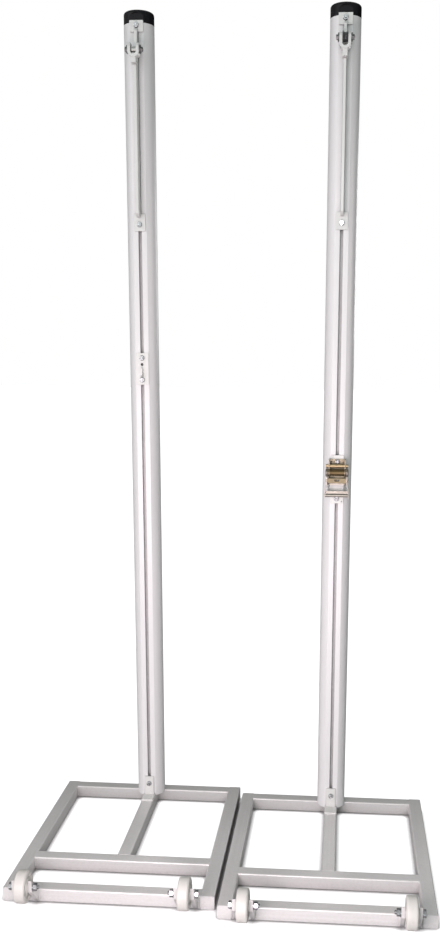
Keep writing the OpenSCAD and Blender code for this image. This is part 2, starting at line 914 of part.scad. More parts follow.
// The handle's arm seen from the side, as (distance out from the spool's axis, height above it)
module arm_side() {
  tip = -handle_l - grip_d/2 - 2;
  difference() {
    union() {
      circle(r = gear_r);
      polygon([[-8, 0], [8, 0], [4, tip], [-9, tip]]);
    }
    circle(r = spool_d/2 + run_gap);
    // slot for the drive pawl's tabs
    translate([-pawl_t/2 - side_gap, -tab_near - tab_h - pawl_travel - side_gap])
      square([pawl_t + 2*side_gap, tab_h + pawl_travel + 2*side_gap]);
    translate([-grip_set, -handle_l]) circle(r = grip_pin_r + run_gap);
  }
}
grip_set = 2.5;
grip_pin_r = 3;

// One arm seen from the front, splayed out towards the grip
module arm_front() {
  low = -handle_l - grip_d;
  polygon([
    [arm_in, gear_r + cut], [arm_out, gear_r + cut], [arm_out, -splay_start], [arm_out + splay, -splay_end],
    [arm_out + splay, low], [arm_in + splay, low], [arm_in + splay, -splay_end], [arm_in, -splay_start]
  ]);
}

module ratchet_handle() {
  web_half = arm_in + splay + 0.5;
  color([0.76, 0.62, 0.34])
    at_spool() {
      for (s = [0, 1])
        mirror([s, 0, 0])
          intersection() {
            side_outline(6*arm_out) arm_side();
            translate([0, 4*gear_r, 0]) rotate([90, 0, 0]) linear_extrude(8*gear_r) arm_front();
          }
      // web above the window
      translate([-arm_in - 0.5, 4.5, -drive_far - 6]) cube([2*arm_in + 1, press_t, 10]);
      // web below the window
      translate([-web_half, -1, -web_near - web_h]) cube([2*web_half, press_t, web_h]);
    }
}

module ratchet_grip() {
  color([0.74, 0.6, 0.33])
    at_spool()
      translate([0, grip_set, -handle_l]) {
        rod_x(grip_d/2, 2*(arm_in + splay));
        rod_x(grip_pin_r, 2*(arm_out + splay));
        for (s = [-1, 1])
          translate([s*(arm_out + splay + 0.5), 0, 0]) rod_x(4.2, 1);
      }
}

// Plate with two notches, tabs through the arms and edges towards the teeth
module drive_outline() {
  difference() {
    union() {
      translate([-arm_in + side_gap, -drive_far]) square([2*arm_in - 2*side_gap, drive_h]);
      translate([-pawl_half, -tab_near - tab_h]) square([2*pawl_half, tab_h]);
    }
    for (s = [-1, 1])
      polygon([[s*1, -pawl_near - 7], [s*7, -pawl_near - 7], [s*6, -pawl_near - 12], [s*1, -pawl_near - 13]]);
    translate([-frame_out - side_gap, -pawl_near - 3]) square([2*frame_out + 2*side_gap, 3 + cut]);
  }
}

module ratchet_drive_pawl() {
  color([0.75, 0.63, 0.4])
    at_spool() translate([0, pawl_t/2, 0]) rotate([90, 0, 0]) linear_extrude(pawl_t) drive_outline();
}

module ratchet_lock_pawl() {
  color([0.75, 0.63, 0.4])
    at_spool()
      translate([0, 0, pawl_near + pawl_h/2]) cube([2*pawl_half, pawl_t, pawl_h], center = true);
}

// ---- Springs: round wire wound on a helix, straight at both ends ----

function spring_path(r, length, turns, wire) =
  let (steps = 8*turns, rise = (length - 2*wire)/steps)
    concat(
      [[r, 0, 0]],
      [for (i = [0 : steps]) [r*cos(45*i), r*sin(45*i), wire + rise*i]],
      [[r, 0, length]]
    );

// Direction of the path at point i
function path_dir(path, i) =
  let (a = path[max(i - 1, 0)], b = path[min(i + 1, len(path) - 1)])
    (b - a)/norm(b - a);

function ring_at(centre, dir, r) =
  let (side = cross(dir, [0.31, 0.17, 0.94]), u = side/norm(side), v = cross(dir, u))
    [for (k = [0 : 5]) centre + r*(cos(60*k)*u + sin(60*k)*v)];

// Least gap between turns: points at least half a turn apart along the path
function least_gap(path, wire) =
  min([for (i = [1 : len(path) - 2]) for (j = [i + 5 : 1 : len(path) - 2]) norm(path[i] - path[j])]) - wire;

module wire_spring(r, length, turns, wire) {
  path = spring_path(r, length, turns, wire);
  n = len(path);
  rings = [for (i = [0 : n - 1])
    ring_at(path[i], i == 0 || i == n - 1 ? [0, 0, 1] : path_dir(path, i), wire/2)];
  echo(spring_least_gap = least_gap(path, wire));
  polyhedron(
    points = [for (ring = rings) for (p = ring) p],
    faces = concat(
      [for (k = [1 : 4]) [0, k, k + 1]],
      [for (k = [1 : 4]) [(n - 1)*6, (n - 1)*6 + k + 1, (n - 1)*6 + k]],
      [for (i = [0 : n - 2]) for (k = [0 : 5]) [i*6 + k, (i + 1)*6 + k, i*6 + (k + 1)%6]],
      [for (i = [0 : n - 2]) for (k = [0 : 5]) [i*6 + (k + 1)%6, (i + 1)*6 + k, (i + 1)*6 + (k + 1)%6]]
    )
  );
}

module ratchet_drive_springs() {
  length = web_near - drive_far;
  color([0.35, 0.32, 0.28])
    at_spool()
      for (s = [-1, 1])
        translate([s*drive_spring_x, 0, -web_near]) wire_spring(spring_r, length, 6, spring_wire);
}

module ratchet_lock_springs() {
  length = frame_top - lug_t - pawl_near - pawl_h;
  color([0.35, 0.32, 0.28])
    at_spool()
      for (s = [-1, 1])
        translate([s*lock_spring_x, 0, pawl_near + pawl_h]) wire_spring(spring_r, length, 3, spring_wire);
}

// ---- Nodes ----

bar_grey = [0.75, 0.76, 0.77];
cross_tube(-1, base_l - tube, bar_grey);  // left_rear_bar
side_tube(-1, -1);  // left_outer_bar
side_tube(-1, 1);  // left_inner_bar
cross_tube(-1, crossbar_set, bar_grey);  // left_crossbar
cross_tube(-1, 0, bar_grey);  // left_front_bar
centre_tube(-1);  // left_centre_bar
cross_tube(1, base_l - tube, bar_grey);  // right_rear_bar
side_tube(1, -1);  // right_inner_bar
side_tube(1, 1);  // right_outer_bar
cross_tube(1, crossbar_set, bar_grey);  // right_crossbar
cross_tube(1, 0, bar_grey);  // right_front_bar
centre_tube(1);  // right_centre_bar
tube_end_plates();
foot_bracket(-1);  // left_foot_bracket
foot_bracket(1);  // right_foot_bracket
foot_bolts();
post_locators();
post(-1);  // left_post
post(1);  // right_post
post_cap(-1);  // left_post_cap
post_cap(1);  // right_post_cap
wheel_ears();
wheel_sleeves();
wheel_axle_bolts();
wheel_axle_nuts();
wheel(-1, -1);  // left_outer_wheel
wheel(-1, 1);  // left_inner_wheel
wheel(1, -1);  // right_inner_wheel
wheel(1, 1);  // right_outer_wheel
slider_plates(-1);  // left_slider_plates
slider_bar(-1);  // left_slider_bar
slider_bolts(-1);  // left_slider_bolts
left_cord_fork();
left_cord_roller();
left_fork_pin();
left_tie_plate();
left_tie_bolts();
slider_plates(1);  // right_slider_plates
slider_bar(1);  // right_slider_bar
slider_bolts(1);  // right_slider_bolts
right_pulley_fork();
right_pulley_wheel();
right_pulley_bush();
right_pulley_pin();
ratchet_plate();
ratchet_plate_bolts();
ratchet_frame();
ratchet_gears();
ratchet_spool();
ratchet_washers();
ratchet_handle();
ratchet_grip();
ratchet_drive_pawl();
ratchet_drive_springs();
ratchet_lock_pawl();
ratchet_lock_springs();
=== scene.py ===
# %% [markdown]
# # A pair of mobile volleyball posts
# Two steel bases lie side by side on the floor. Each carries a tall round post with a flat front, a
# slot down that flat, and fittings that slide in the slot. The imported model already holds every
# solid at its true size. This lesson adds what it lacks: rounded edges, threads, welds, and
# finishes that catch the light the way powder coat, zinc, nylon and steel do.

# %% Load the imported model
import json
import math
import random

import bmesh
import bpy
from mathutils import Matrix, Vector

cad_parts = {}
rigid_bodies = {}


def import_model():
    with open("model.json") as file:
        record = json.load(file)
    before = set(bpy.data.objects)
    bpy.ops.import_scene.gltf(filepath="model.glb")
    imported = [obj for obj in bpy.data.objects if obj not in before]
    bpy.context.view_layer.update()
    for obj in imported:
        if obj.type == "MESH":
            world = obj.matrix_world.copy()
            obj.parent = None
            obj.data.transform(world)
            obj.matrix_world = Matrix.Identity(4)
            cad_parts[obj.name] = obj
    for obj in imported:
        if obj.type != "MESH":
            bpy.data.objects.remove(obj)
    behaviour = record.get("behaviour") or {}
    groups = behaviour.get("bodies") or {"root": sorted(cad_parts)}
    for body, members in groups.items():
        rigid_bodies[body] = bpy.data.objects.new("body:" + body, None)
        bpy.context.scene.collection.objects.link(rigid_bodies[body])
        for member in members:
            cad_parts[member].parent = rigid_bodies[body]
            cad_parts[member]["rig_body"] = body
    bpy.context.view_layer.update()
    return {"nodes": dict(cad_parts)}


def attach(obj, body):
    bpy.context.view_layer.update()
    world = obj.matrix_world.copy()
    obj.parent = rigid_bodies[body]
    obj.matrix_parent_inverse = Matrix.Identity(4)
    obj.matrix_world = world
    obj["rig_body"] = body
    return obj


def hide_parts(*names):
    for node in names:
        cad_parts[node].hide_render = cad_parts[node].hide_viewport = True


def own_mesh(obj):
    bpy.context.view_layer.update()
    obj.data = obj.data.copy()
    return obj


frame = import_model()
nodes = frame["nodes"]
body_of = {name: node["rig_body"] for name, node in nodes.items()}
slot_of = {name: node.data.materials[0].name for name, node in nodes.items()}

# %% [markdown]
# ## The camera
# The viewer stands about three metres in front of the posts with the lens at eye level, a little
# right of the middle, and looks slightly down. The frame is tall and narrow, so the lens is set
# against its long side, and a small shift moves the picture without tilting the camera any further.

# %% Camera
LONG_SIDE = 937
FOCAL_PIXELS = 1007.1
SENSOR = 36.0
EYE = (0.3265, -2.8115, 1.5548)
YAW, TILT, ROLL = 0.0697, 0.192, 0.0074
SHIFT_X, SHIFT_Y = -0.0569, 0.0718


def new_object(name, data):
    thing = bpy.data.objects.new(name, data)
    bpy.context.scene.collection.objects.link(thing)
    return thing


camera_data = bpy.data.cameras.new("camera")
camera_data.sensor_width = SENSOR
camera_data.lens = FOCAL_PIXELS*SENSOR/LONG_SIDE
camera_data.shift_x = SHIFT_X
camera_data.shift_y = SHIFT_Y
camera = new_object("camera", camera_data)

forward = Vector((-math.sin(YAW)*math.cos(TILT), math.cos(YAW)*math.cos(TILT), -math.sin(TILT)))
level_right = forward.cross(Vector((0, 0, 1))).normalized()
level_up = level_right.cross(forward)
right = level_right*math.cos(ROLL) + level_up*math.sin(ROLL)
up = level_up*math.cos(ROLL) - level_right*math.sin(ROLL)
camera.matrix_world = Matrix.Translation(EYE) @ Matrix((right, up, -forward)).transposed().to_4x4()
bpy.context.scene.camera = camera
print("lens", round(camera_data.lens, 2), "mm at", tuple(round(v, 3) for v in camera.location))

# %% [markdown]
# ## Writing node trees by hand
# Every finish below is a small network of nodes, written as code so that it can be read and rerun.
# `put` adds one node and feeds its inputs, either with a plain value or with another node's output.
# The short helpers after it cover arithmetic, mixing and noise.

# %% Helpers for node trees
def put(tree, kind, feeds=None, **settings):
    node = tree.nodes.new(kind)
    for key, value in settings.items():
        setattr(node, key, value)
    for key, value in (feeds or {}).items():
        if isinstance(value, bpy.types.NodeSocket):
            tree.links.new(value, node.inputs[key])
        else:
            node.inputs[key].default_value = value
    return node


def maths(tree, operation, first, second, clamp=False):
    feeds = {0: first, 1: second}
    return put(tree, "ShaderNodeMath", feeds, operation=operation, use_clamp=clamp).outputs[0]


def times(tree, first, second, clamp=False):
    return maths(tree, "MULTIPLY", first, second, clamp)


def plus(tree, first, second, clamp=False):
    return maths(tree, "ADD", first, second, clamp)


def minus(tree, first, second, clamp=False):
    return maths(tree, "SUBTRACT", first, second, clamp)


def dot(tree, first, second):
    feeds = {0: first, 1: second}
    return put(tree, "ShaderNodeVectorMath", feeds, operation="DOT_PRODUCT").outputs["Value"]


def blend(tree, share, first, second):
    feeds = {0: share, 6: first, 7: second}
    return put(tree, "ShaderNodeMix", feeds, data_type="RGBA").outputs[2]


def remap(tree, value, low, high, new_low=0.0, new_high=1.0, shape="LINEAR"):
    feeds = {"Value": value, "From Min": low, "From Max": high, "To Min": new_low,
             "To Max": new_high}
    return put(tree, "ShaderNodeMapRange", feeds, interpolation_type=shape).outputs[0]


def noise(tree, place, scale, detail=2.0, roughness=0.5):
    feeds = {"Vector": place, "Scale": scale, "Detail": detail, "Roughness": roughness}
    return put(tree, "ShaderNodeTexNoise", feeds).outputs["Fac"]


def stretched(tree, place, factors, turn=(0.0, 0.0, 0.0)):
    feeds = {"Vector": place, "Rotation": turn, "Scale": factors}
    return put(tree, "ShaderNodeMapping", feeds).outputs[0]


def part_of(tree, vector, axis):
    return put(tree, "ShaderNodeSeparateXYZ", {0: vector}).outputs[axis]

# %% [markdown]
# ## Effects as node groups
# Powder coat, zinc and plastic share many small effects: worn edges, fine scratches, dust, slow
# drifts of tone. Each is built once as a node group with named sockets, and each material places it
# with its own values. A group hands out masks, heights and colours only. The shader itself stays in
# the material.

# %% Start, finish and use a node group
def new_effect(name, inputs, outputs):
    tree = bpy.data.node_groups.new(name, "ShaderNodeTree")
    tree.interface.new_socket("Place", in_out="INPUT", socket_type="NodeSocketVector")
    for label, value in inputs.items():
        kind = "NodeSocketColor" if isinstance(value, tuple) else "NodeSocketFloat"
        tree.interface.new_socket(label, in_out="INPUT", socket_type=kind).default_value = value
    for label, kind in outputs.items():
        tree.interface.new_socket(label, in_out="OUTPUT", socket_type="NodeSocket" + kind)
    given = tree.nodes.new("NodeGroupInput").outputs
    result = tree.nodes.new("NodeGroupOutput").inputs
    return tree, given["Place"], given, result


def hand_out(effect, result, **values):
    for label, socket in values.items():
        effect.links.new(socket, result[label])
    print(effect.name + ":", len(effect.nodes), "nodes")
    return effect


def use_effect(tree, effect, place, **values):
    return put(tree, "ShaderNodeGroup", {"Place": place, **values}, node_tree=effect).outputs

# %% [markdown]
# ### Coat skin
# Powder coat is melted plastic dust. It sets with a gentle waviness a few millimetres across,
# called orange peel, with a finer grain on top and now and then a darker speck. Two noises of
# different size make the height, and a third, cut off high, leaves only rare specks.

# %% Coat skin
tree, place, given, result = new_effect(
    "coat_skin", {"Peel": 260.0}, {"Height": "Float", "Specks": "Float"})
waves = noise(tree, place, given["Peel"], 1.0)
grain = noise(tree, place, times(tree, given["Peel"], 7.0), 2.0)
height = plus(tree, times(tree, waves, 0.8), times(tree, grain, 0.2))
specks = remap(tree, noise(tree, place, 640.0, 1.0), 0.70, 0.76)
coat_skin = hand_out(tree, result, Height=height, Specks=specks)

# %% [markdown]
# ### Worn edges
# Corners take the knocks. Cycles' Bevel node returns the normal that a rounded corner would have,
# so where it differs from the true normal there is an edge. Noise breaks the band up, because wear
# is never even.

# %% Worn edges
tree, place, given, result = new_effect(
    "worn_edges", {"Reach": 0.002, "Amount": 0.5}, {"Mask": "Float"})
rounded = put(tree, "ShaderNodeBevel", {"Radius": given["Reach"]}, samples=4).outputs[0]
facing = put(tree, "ShaderNodeNewGeometry").outputs["Normal"]
edge = remap(tree, dot(tree, rounded, facing), 0.995, 0.85)
broken = remap(tree, noise(tree, place, 90.0, 4.0, 0.65), 0.42, 0.62)
worn = times(tree, times(tree, edge, broken), given["Amount"], True)
worn_edges = hand_out(tree, result, Mask=worn)

# %% [markdown]
# ### Rub marks
# Things that are carried and stacked pick up hairline scratches. Noise squeezed hard in one
# direction gives long thin streaks, and two layers turned against each other keep them from looking
# combed.

# %% Rub marks
tree, place, given, result = new_effect("rub_marks", {"Amount": 0.5}, {"Mask": "Float"})
layers = []
for turn, factors in (((0.5, 0.2, 0.7), (1400.0, 30.0, 30.0)),
                      ((-0.9, 0.6, -0.4), (30.0, 1100.0, 30.0))):
    streaks = noise(tree, stretched(tree, place, factors, turn), 1.0, 2.0, 0.6)
    layers.append(remap(tree, streaks, 0.66, 0.72))
patches = remap(tree, noise(tree, place, 9.0, 2.0), 0.45, 0.65)
streaks = times(tree, maths(tree, "MAXIMUM", *layers), patches)
rub_marks = hand_out(tree, result, Mask=times(tree, streaks, given["Amount"], True))

# %% [markdown]
# ### Settled dust
# Dust lies on faces that look up, and grit splashes onto whatever is close to the floor. The first
# part reads the surface normal, the second the height above the floor, and noise breaks both up.

# %% Settled dust
tree, place, given, result = new_effect(
    "settled_dust", {"Amount": 0.3, "Splash Height": 0.12}, {"Mask": "Float"})
upward = part_of(tree, put(tree, "ShaderNodeNewGeometry").outputs["Normal"], "Z")
above = part_of(tree, place, "Z")
lying = times(tree, remap(tree, upward, 0.3, 1.0), noise(tree, place, 34.0, 5.0, 0.7))
near_floor = remap(tree, above, 0.0, given["Splash Height"], 1.0, 0.0)
grit = remap(tree, noise(tree, place, 120.0, 4.0, 0.7), 0.45, 0.7)
settled = plus(tree, lying, times(tree, near_floor, grit))
settled_dust = hand_out(tree, result, Mask=times(tree, settled, given["Amount"], True))

# %% [markdown]
# ### Painted shade in corners
# Slots, gaps and inside corners are darkened here, a painted shade where less light reaches them.
# Ambient occlusion tells how closed in a point is, within a distance that each finish chooses, and
# noise keeps the dark from being even.

# %% Painted shade in corners
tree, place, given, result = new_effect(
    "corner_grime", {"Distance": 0.012, "Amount": 0.5}, {"Mask": "Float"})
open_air = put(tree, "ShaderNodeAmbientOcclusion", {"Distance": given["Distance"]},
               samples=6).outputs["AO"]
closed_in = remap(tree, open_air, 0.12, 0.62, 1.0, 0.0)
uneven = remap(tree, noise(tree, place, 60.0, 3.0), 0.3, 0.7, 0.8, 1.0)
corner_shade_mask = times(tree, times(tree, closed_in, uneven), given["Amount"], True)
corner_grime = hand_out(tree, result, Mask=corner_shade_mask)

# %% [markdown]
# ### Tone drift
# No batch of paint, nylon or zinc is one flat colour. A slow noise leans the main colour towards a
# second one.

# %% Tone drift
tree, place, given, result = new_effect(
    "tone_drift", {"Size": 6.0, "Amount": 0.5, "Main": (0.8, 0.8, 0.8, 1.0),
                   "Other": (0.7, 0.7, 0.7, 1.0)}, {"Color": "Color"})
cloud = remap(tree, noise(tree, place, given["Size"], 3.0, 0.55), 0.3, 0.7)
leaning = times(tree, cloud, given["Amount"], True)
tone_drift = hand_out(tree, result, Color=blend(tree, leaning, given["Main"], given["Other"]))

# %% [markdown]
# ### Drawn lines
# Tube, bar and extrusion are pulled through a die, which leaves fine lines along their length and
# broader soft streaks between them. The noise is stretched along one axis, so each material turns
# its coordinates to suit before it places the group.

# %% Drawn lines
tree, place, given, result = new_effect(
    "drawn_lines", {"Pitch": 900.0}, {"Height": "Float", "Streaks": "Float"})
run = stretched(tree, place, (1.0, 1.0, 0.004))
fine = noise(tree, run, given["Pitch"], 3.0, 0.6)
broad = noise(tree, run, times(tree, given["Pitch"], 0.22), 2.0)
drawn_lines = hand_out(tree, result, Height=fine, Streaks=remap(tree, broad, 0.35, 0.65))

# %% [markdown]
# ### Plating
# Zinc is plated on as small crystals. Voronoi cells give each crystal its own grey, and a soft
# noise gives the cloudy bloom that a passivated surface shows.

# %% Plating
tree, place, given, result = new_effect(
    "plating", {"Crystal": 700.0, "Bloom": 60.0}, {"Crystals": "Float", "Cloud": "Float"})
cells = put(tree, "ShaderNodeTexVoronoi",
            {"Vector": place, "Scale": given["Crystal"]}).outputs["Color"]
crystals = put(tree, "ShaderNodeSeparateColor", {0: cells}).outputs[0]
cloud = remap(tree, noise(tree, place, given["Bloom"], 4.0, 0.6), 0.3, 0.7)
plating = hand_out(tree, result, Crystals=crystals, Cloud=cloud)

# %% [markdown]
# ### Moulded skin
# A mould is spark-eroded, so moulded plastic comes out with a fine pebbled skin. Smooth Voronoi
# cells make the pebbles, and a weak noise stops them from looking like a honeycomb.

# %% Moulded skin
tree, place, given, result = new_effect("moulded_skin", {"Grain": 900.0}, {"Height": "Float"})
pebbles = put(tree, "ShaderNodeTexVoronoi",
              {"Vector": place, "Scale": given["Grain"]}, feature="SMOOTH_F1").outputs["Distance"]
soft = noise(tree, place, times(tree, given["Grain"], 0.3), 2.0)
height = plus(tree, times(tree, pebbles, 0.6), times(tree, soft, 0.4))
moulded_skin = hand_out(tree, result, Height=height)

# %% [markdown]
# ## Materials
# A finish starts with a Principled shader and the object's own coordinates. Every object here sits
# at the origin in metres, so the same noise scale means the same real size on every piece.

# %% Start a material
finishes = {}


def opaque(colour):
    return (*colour, 1.0)


def new_finish(name, **constants):
    material = bpy.data.materials.new(name + "_finish")
    material.use_nodes = True
    tree = material.node_tree
    shader = tree.nodes["Principled BSDF"]
    for label, value in constants.items():
        shader.inputs[label.replace("_", " ")].default_value = value
    place = put(tree, "ShaderNodeTexCoord").outputs["Object"]
    finishes[name] = material
    return tree, shader, place


def feed(tree, shader, sockets, height, strength, depth):
    for label, socket in sockets.items():
        tree.links.new(socket, shader.inputs[label])
    bump = put(tree, "ShaderNodeBump", {"Strength": strength, "Distance": depth, "Height": height})
    tree.links.new(bump.outputs[0], shader.inputs["Normal"])

# %% [markdown]
# ### Satin coats
# The bases, the posts and the sliders all wear a light satin coat thin enough to show the lines of
# the metal under it. The bases are the dustiest, the posts the cleanest. Where an edge is rubbed
# through, the dull metal shows, so one mask drives colour, roughness and metallic together and they
# always agree. A bar's lines run along the bar, so the bars that run across get their own copy of
# the finish, turned to suit. Slots, gaps and inside corners carry a painted shade, and the bases'
# paint is darkened more and more towards the rear, a painted shade where less light falls.

# %% Satin coats
UPRIGHT, BACKWARD, CROSSWISE = (0.0, 0.0, 0.0), (math.pi/2, 0.0, 0.0), (0.0, math.pi/2, 0.0)
SATIN = (0.31, 0.41)
SPECK = opaque((0.35, 0.34, 0.33))
SCUFF = opaque((0.52, 0.51, 0.5))
DUST = opaque((0.42, 0.39, 0.36))
# The next two colours are painted shade: the first towards the rear of the bases, the second in
# slots, gaps and inside corners. The rear shade grows between the two depths after them.
REAR_SHADE = opaque((0.3, 0.29, 0.28))
CORNER_SHADE = opaque((0.11, 0.105, 0.105))
REAR_SHADE_STARTS, REAR_SHADE_ENDS = -0.05, 0.36


def shaded_rear(tree, place, colour, rear_shade_amount):
    # Painted shade: the colour darkens towards the rear of each base, where less light falls.
    depth = part_of(tree, place, "Y")
    patchy = remap(tree, noise(tree, place, 11.0, 4.0, 0.6), 0.3, 0.7, 0.85, 1.0)
    dull = times(tree, remap(tree, depth, REAR_SHADE_STARTS, REAR_SHADE_ENDS, 0.0, rear_shade_amount), patchy)
    return blend(tree, dull, colour, REAR_SHADE)


def satin_coat(name, main, other, bare, peel, wear, dust, sheen, corner_shade_amount, lines=UPRIGHT, rear_shade_amount=0.0):
    tree, shader, place = new_finish(name, Specular_IOR_Level=0.45)
    main, other, bare = map(opaque, (main, other, bare))
    skin = use_effect(tree, coat_skin, place, Peel=peel)
    along = stretched(tree, place, (1.0, 1.0, 1.0), lines)
    drawn = use_effect(tree, drawn_lines, along, Pitch=700.0)
    worn = use_effect(tree, worn_edges, place, Reach=0.0012, Amount=wear)["Mask"]
    rubs = use_effect(tree, rub_marks, place, Amount=0.5)["Mask"]
    dirt = use_effect(tree, settled_dust, place, Amount=dust)["Mask"]
    # Painted shade: how closed in each point is, used to darken slots, gaps and inside corners.
    corners = use_effect(tree, corner_grime, place, Distance=0.035, Amount=corner_shade_amount)["Mask"]
    tone = use_effect(tree, tone_drift, place, Size=3.5, Amount=0.7, Main=main, Other=other)
    colour = blend(tree, times(tree, drawn["Streaks"], 0.45), tone["Color"], other)
    colour = blend(tree, times(tree, skin["Specks"], 0.25), colour, SPECK)
    colour = blend(tree, times(tree, rubs, 0.22), colour, SCUFF)
    colour = blend(tree, dirt, colour, DUST)
    # Painted shade towards the rear of the bases.
    if rear_shade_amount:
        colour = shaded_rear(tree, place, colour, rear_shade_amount)
    colour = blend(tree, worn, colour, bare)
    # Painted shade in slots, gaps and inside corners.
    colour = blend(tree, corners, colour, CORNER_SHADE)
    gloss = remap(tree, noise(tree, place, 14.0, 3.0), 0.3, 0.7, *SATIN)
    gloss = plus(tree, gloss, times(tree, drawn["Streaks"], 0.05))
    gloss = plus(tree, gloss, times(tree, plus(tree, rubs, dirt), 0.25), True)
    height = plus(tree, times(tree, skin["Height"], 0.6), times(tree, drawn["Height"], 0.5))
    height = minus(tree, height, times(tree, plus(tree, rubs, worn), 0.4))
    metallic = plus(tree, times(tree, worn, 0.6),
                    remap(tree, drawn["Streaks"], 0.0, 1.0, sheen*0.85, sheen*1.15), True)
    sockets = {"Base Color": colour, "Roughness": gloss, "Metallic": metallic}
    feed(tree, shader, sockets, height, 0.14, 0.0003)


BARE_STEEL, BARE_ALUMINIUM = (0.36, 0.35, 0.34), (0.55, 0.55, 0.55)
for name, lines in (("base_paint", BACKWARD), ("base_paint_crosswise", CROSSWISE)):
    satin_coat(name, (0.9, 0.88, 0.88), (0.82, 0.8, 0.795), BARE_STEEL, peel=260.0, wear=0.3,
               dust=0.12, sheen=0.3, corner_shade_amount=0.85, lines=lines, rear_shade_amount=0.26)
satin_coat("post_coat", (0.84, 0.82, 0.83), (0.8, 0.785, 0.79), BARE_ALUMINIUM, peel=240.0,
           wear=0.15, dust=0.04, sheen=0.08, corner_shade_amount=0.85)
satin_coat("slider_paint", (0.8, 0.79, 0.78), (0.73, 0.73, 0.71), BARE_STEEL, peel=300.0,
           wear=0.5, dust=0.1, sheen=0.1, corner_shade_amount=0.6)
print("coats:", sorted(finishes))

# %% [markdown]
# ### Plated and bare metals
# Bolts, pins and the ratchet are metal all over, so Metallic is plain and the look comes from how
# colour and roughness vary. The clouded mask tints the plating, the crystals shift the roughness,
# and worn edges go brighter instead of darker, because rubbing polishes zinc. Dust and a painted
# shade in hollows darken the colour together. The ratchet's zinc is passivated yellow, and each of
# its parts has its own tone: the frame's is partly painted shade, and the lock pawl's brighter gold
# is partly a painted highlight.

# %% Metals
# Colour for dust, and for the painted shade in hollows.
METAL_DIRT_AND_SHADE = opaque((0.05, 0.045, 0.04))


def plated_metal(name, main, bloom, bright, low, high):
    tree, shader, place = new_finish(name, Metallic=1.0)
    main, bloom, bright = map(opaque, (main, bloom, bright))
    plate = use_effect(tree, plating, place)
    worn = use_effect(tree, worn_edges, place, Reach=0.0008, Amount=0.7)["Mask"]
    rubs = use_effect(tree, rub_marks, place, Amount=0.8)["Mask"]
    dirt = use_effect(tree, settled_dust, place, Amount=0.2)["Mask"]
    # Painted shade: hollows and gaps between parts are darkened, merged with the dust mask below.
    corners = use_effect(tree, corner_grime, place, Distance=0.008, Amount=0.7)["Mask"]
    dirt = maths(tree, "MAXIMUM", dirt, corners)
    colour = blend(tree, plate["Cloud"], main, bloom)
    colour = blend(tree, times(tree, plate["Crystals"], 0.18), colour, bright)
    colour = blend(tree, worn, colour, bright)
    colour = blend(tree, dirt, colour, METAL_DIRT_AND_SHADE)
    gloss = remap(tree, plus(tree, plate["Cloud"], plate["Crystals"]), 0.0, 2.0, low, high)
    gloss = plus(tree, gloss, times(tree, plus(tree, rubs, dirt), 0.2), True)
    gloss = minus(tree, gloss, times(tree, worn, 0.08), True)
    height = minus(tree, times(tree, plate["Crystals"], 0.4), rubs)
    feed(tree, shader, {"Base Color": colour, "Roughness": gloss}, height, 0.12, 0.0002)


METALS = {  # main colour, bloom, rubbed bright, least and most roughness
    "zinc_fastener": ((0.6, 0.6, 0.61), (0.46, 0.47, 0.49), (0.8, 0.8, 0.8), 0.12, 0.28),
    "pin_steel": ((0.2, 0.2, 0.205), (0.13, 0.13, 0.135), (0.4, 0.4, 0.4), 0.34, 0.5),
    "roller_steel": ((0.56, 0.56, 0.54), (0.48, 0.48, 0.47), (0.7, 0.7, 0.68), 0.42, 0.6),
    "ratchet_zinc": ((0.25, 0.205, 0.125), (0.21, 0.175, 0.12), (0.5, 0.42, 0.28), 0.4, 0.58),
    "ratchet_pale": ((0.42, 0.385, 0.35), (0.36, 0.33, 0.29), (0.6, 0.55, 0.49), 0.38, 0.55),
    # The frame's tone is darker than the handle's, partly as painted shade on its ears.
    "ratchet_straw": ((0.35, 0.3, 0.22), (0.3, 0.255, 0.19), (0.58, 0.51, 0.4), 0.38, 0.55),
    # The lock pawl's bright gold is partly a painted highlight along its crowned front.
    "ratchet_gold": ((0.47, 0.355, 0.205), (0.41, 0.31, 0.18), (0.66, 0.54, 0.36), 0.38, 0.55),
    "ratchet_dark": ((0.17, 0.115, 0.055), (0.11, 0.075, 0.04), (0.36, 0.27, 0.16), 0.38, 0.56),
    "spring_steel": ((0.2, 0.18, 0.16), (0.12, 0.11, 0.1), (0.4, 0.38, 0.35), 0.25, 0.4),
    "bush_bronze": ((0.62, 0.42, 0.2), (0.5, 0.32, 0.15), (0.75, 0.56, 0.32), 0.3, 0.5),
}
for name, looks in METALS.items():
    plated_metal(name, *looks)
print("metals:", len(METALS))

# %% [markdown]
# ### Moulded plastics
# The wheels are nylon, pale and faintly warm. The caps are glossy black plastic, and the pulley is
# a dark hard plastic polished by the cord. All three share the moulded skin, and the wheels also
# show the grit they roll through.

# %% Plastics
def moulded_plastic(name, main, other, dusty, grain, low, high, dust, shine):
    tree, shader, place = new_finish(name, Specular_IOR_Level=shine)
    main, other, dusty = map(opaque, (main, other, dusty))
    skin = use_effect(tree, moulded_skin, place, Grain=grain)["Height"]
    rubs = use_effect(tree, rub_marks, place, Amount=0.7)["Mask"]
    dirt = use_effect(tree, settled_dust, place, Amount=dust)["Mask"]
    worn = use_effect(tree, worn_edges, place, Reach=0.0015, Amount=0.5)["Mask"]
    tone = use_effect(tree, tone_drift, place, Size=22.0, Amount=0.8, Main=main, Other=other)
    scuffs = times(tree, plus(tree, rubs, worn), 0.3, True)
    colour = blend(tree, scuffs, tone["Color"], dusty)
    colour = blend(tree, dirt, colour, dusty)
    gloss = remap(tree, noise(tree, place, 30.0, 3.0), 0.3, 0.7, low, high)
    gloss = plus(tree, gloss, times(tree, plus(tree, rubs, dirt), 0.25), True)
    height = minus(tree, skin, times(tree, rubs, 0.5))
    feed(tree, shader, {"Base Color": colour, "Roughness": gloss}, height, 0.15, 0.0002)


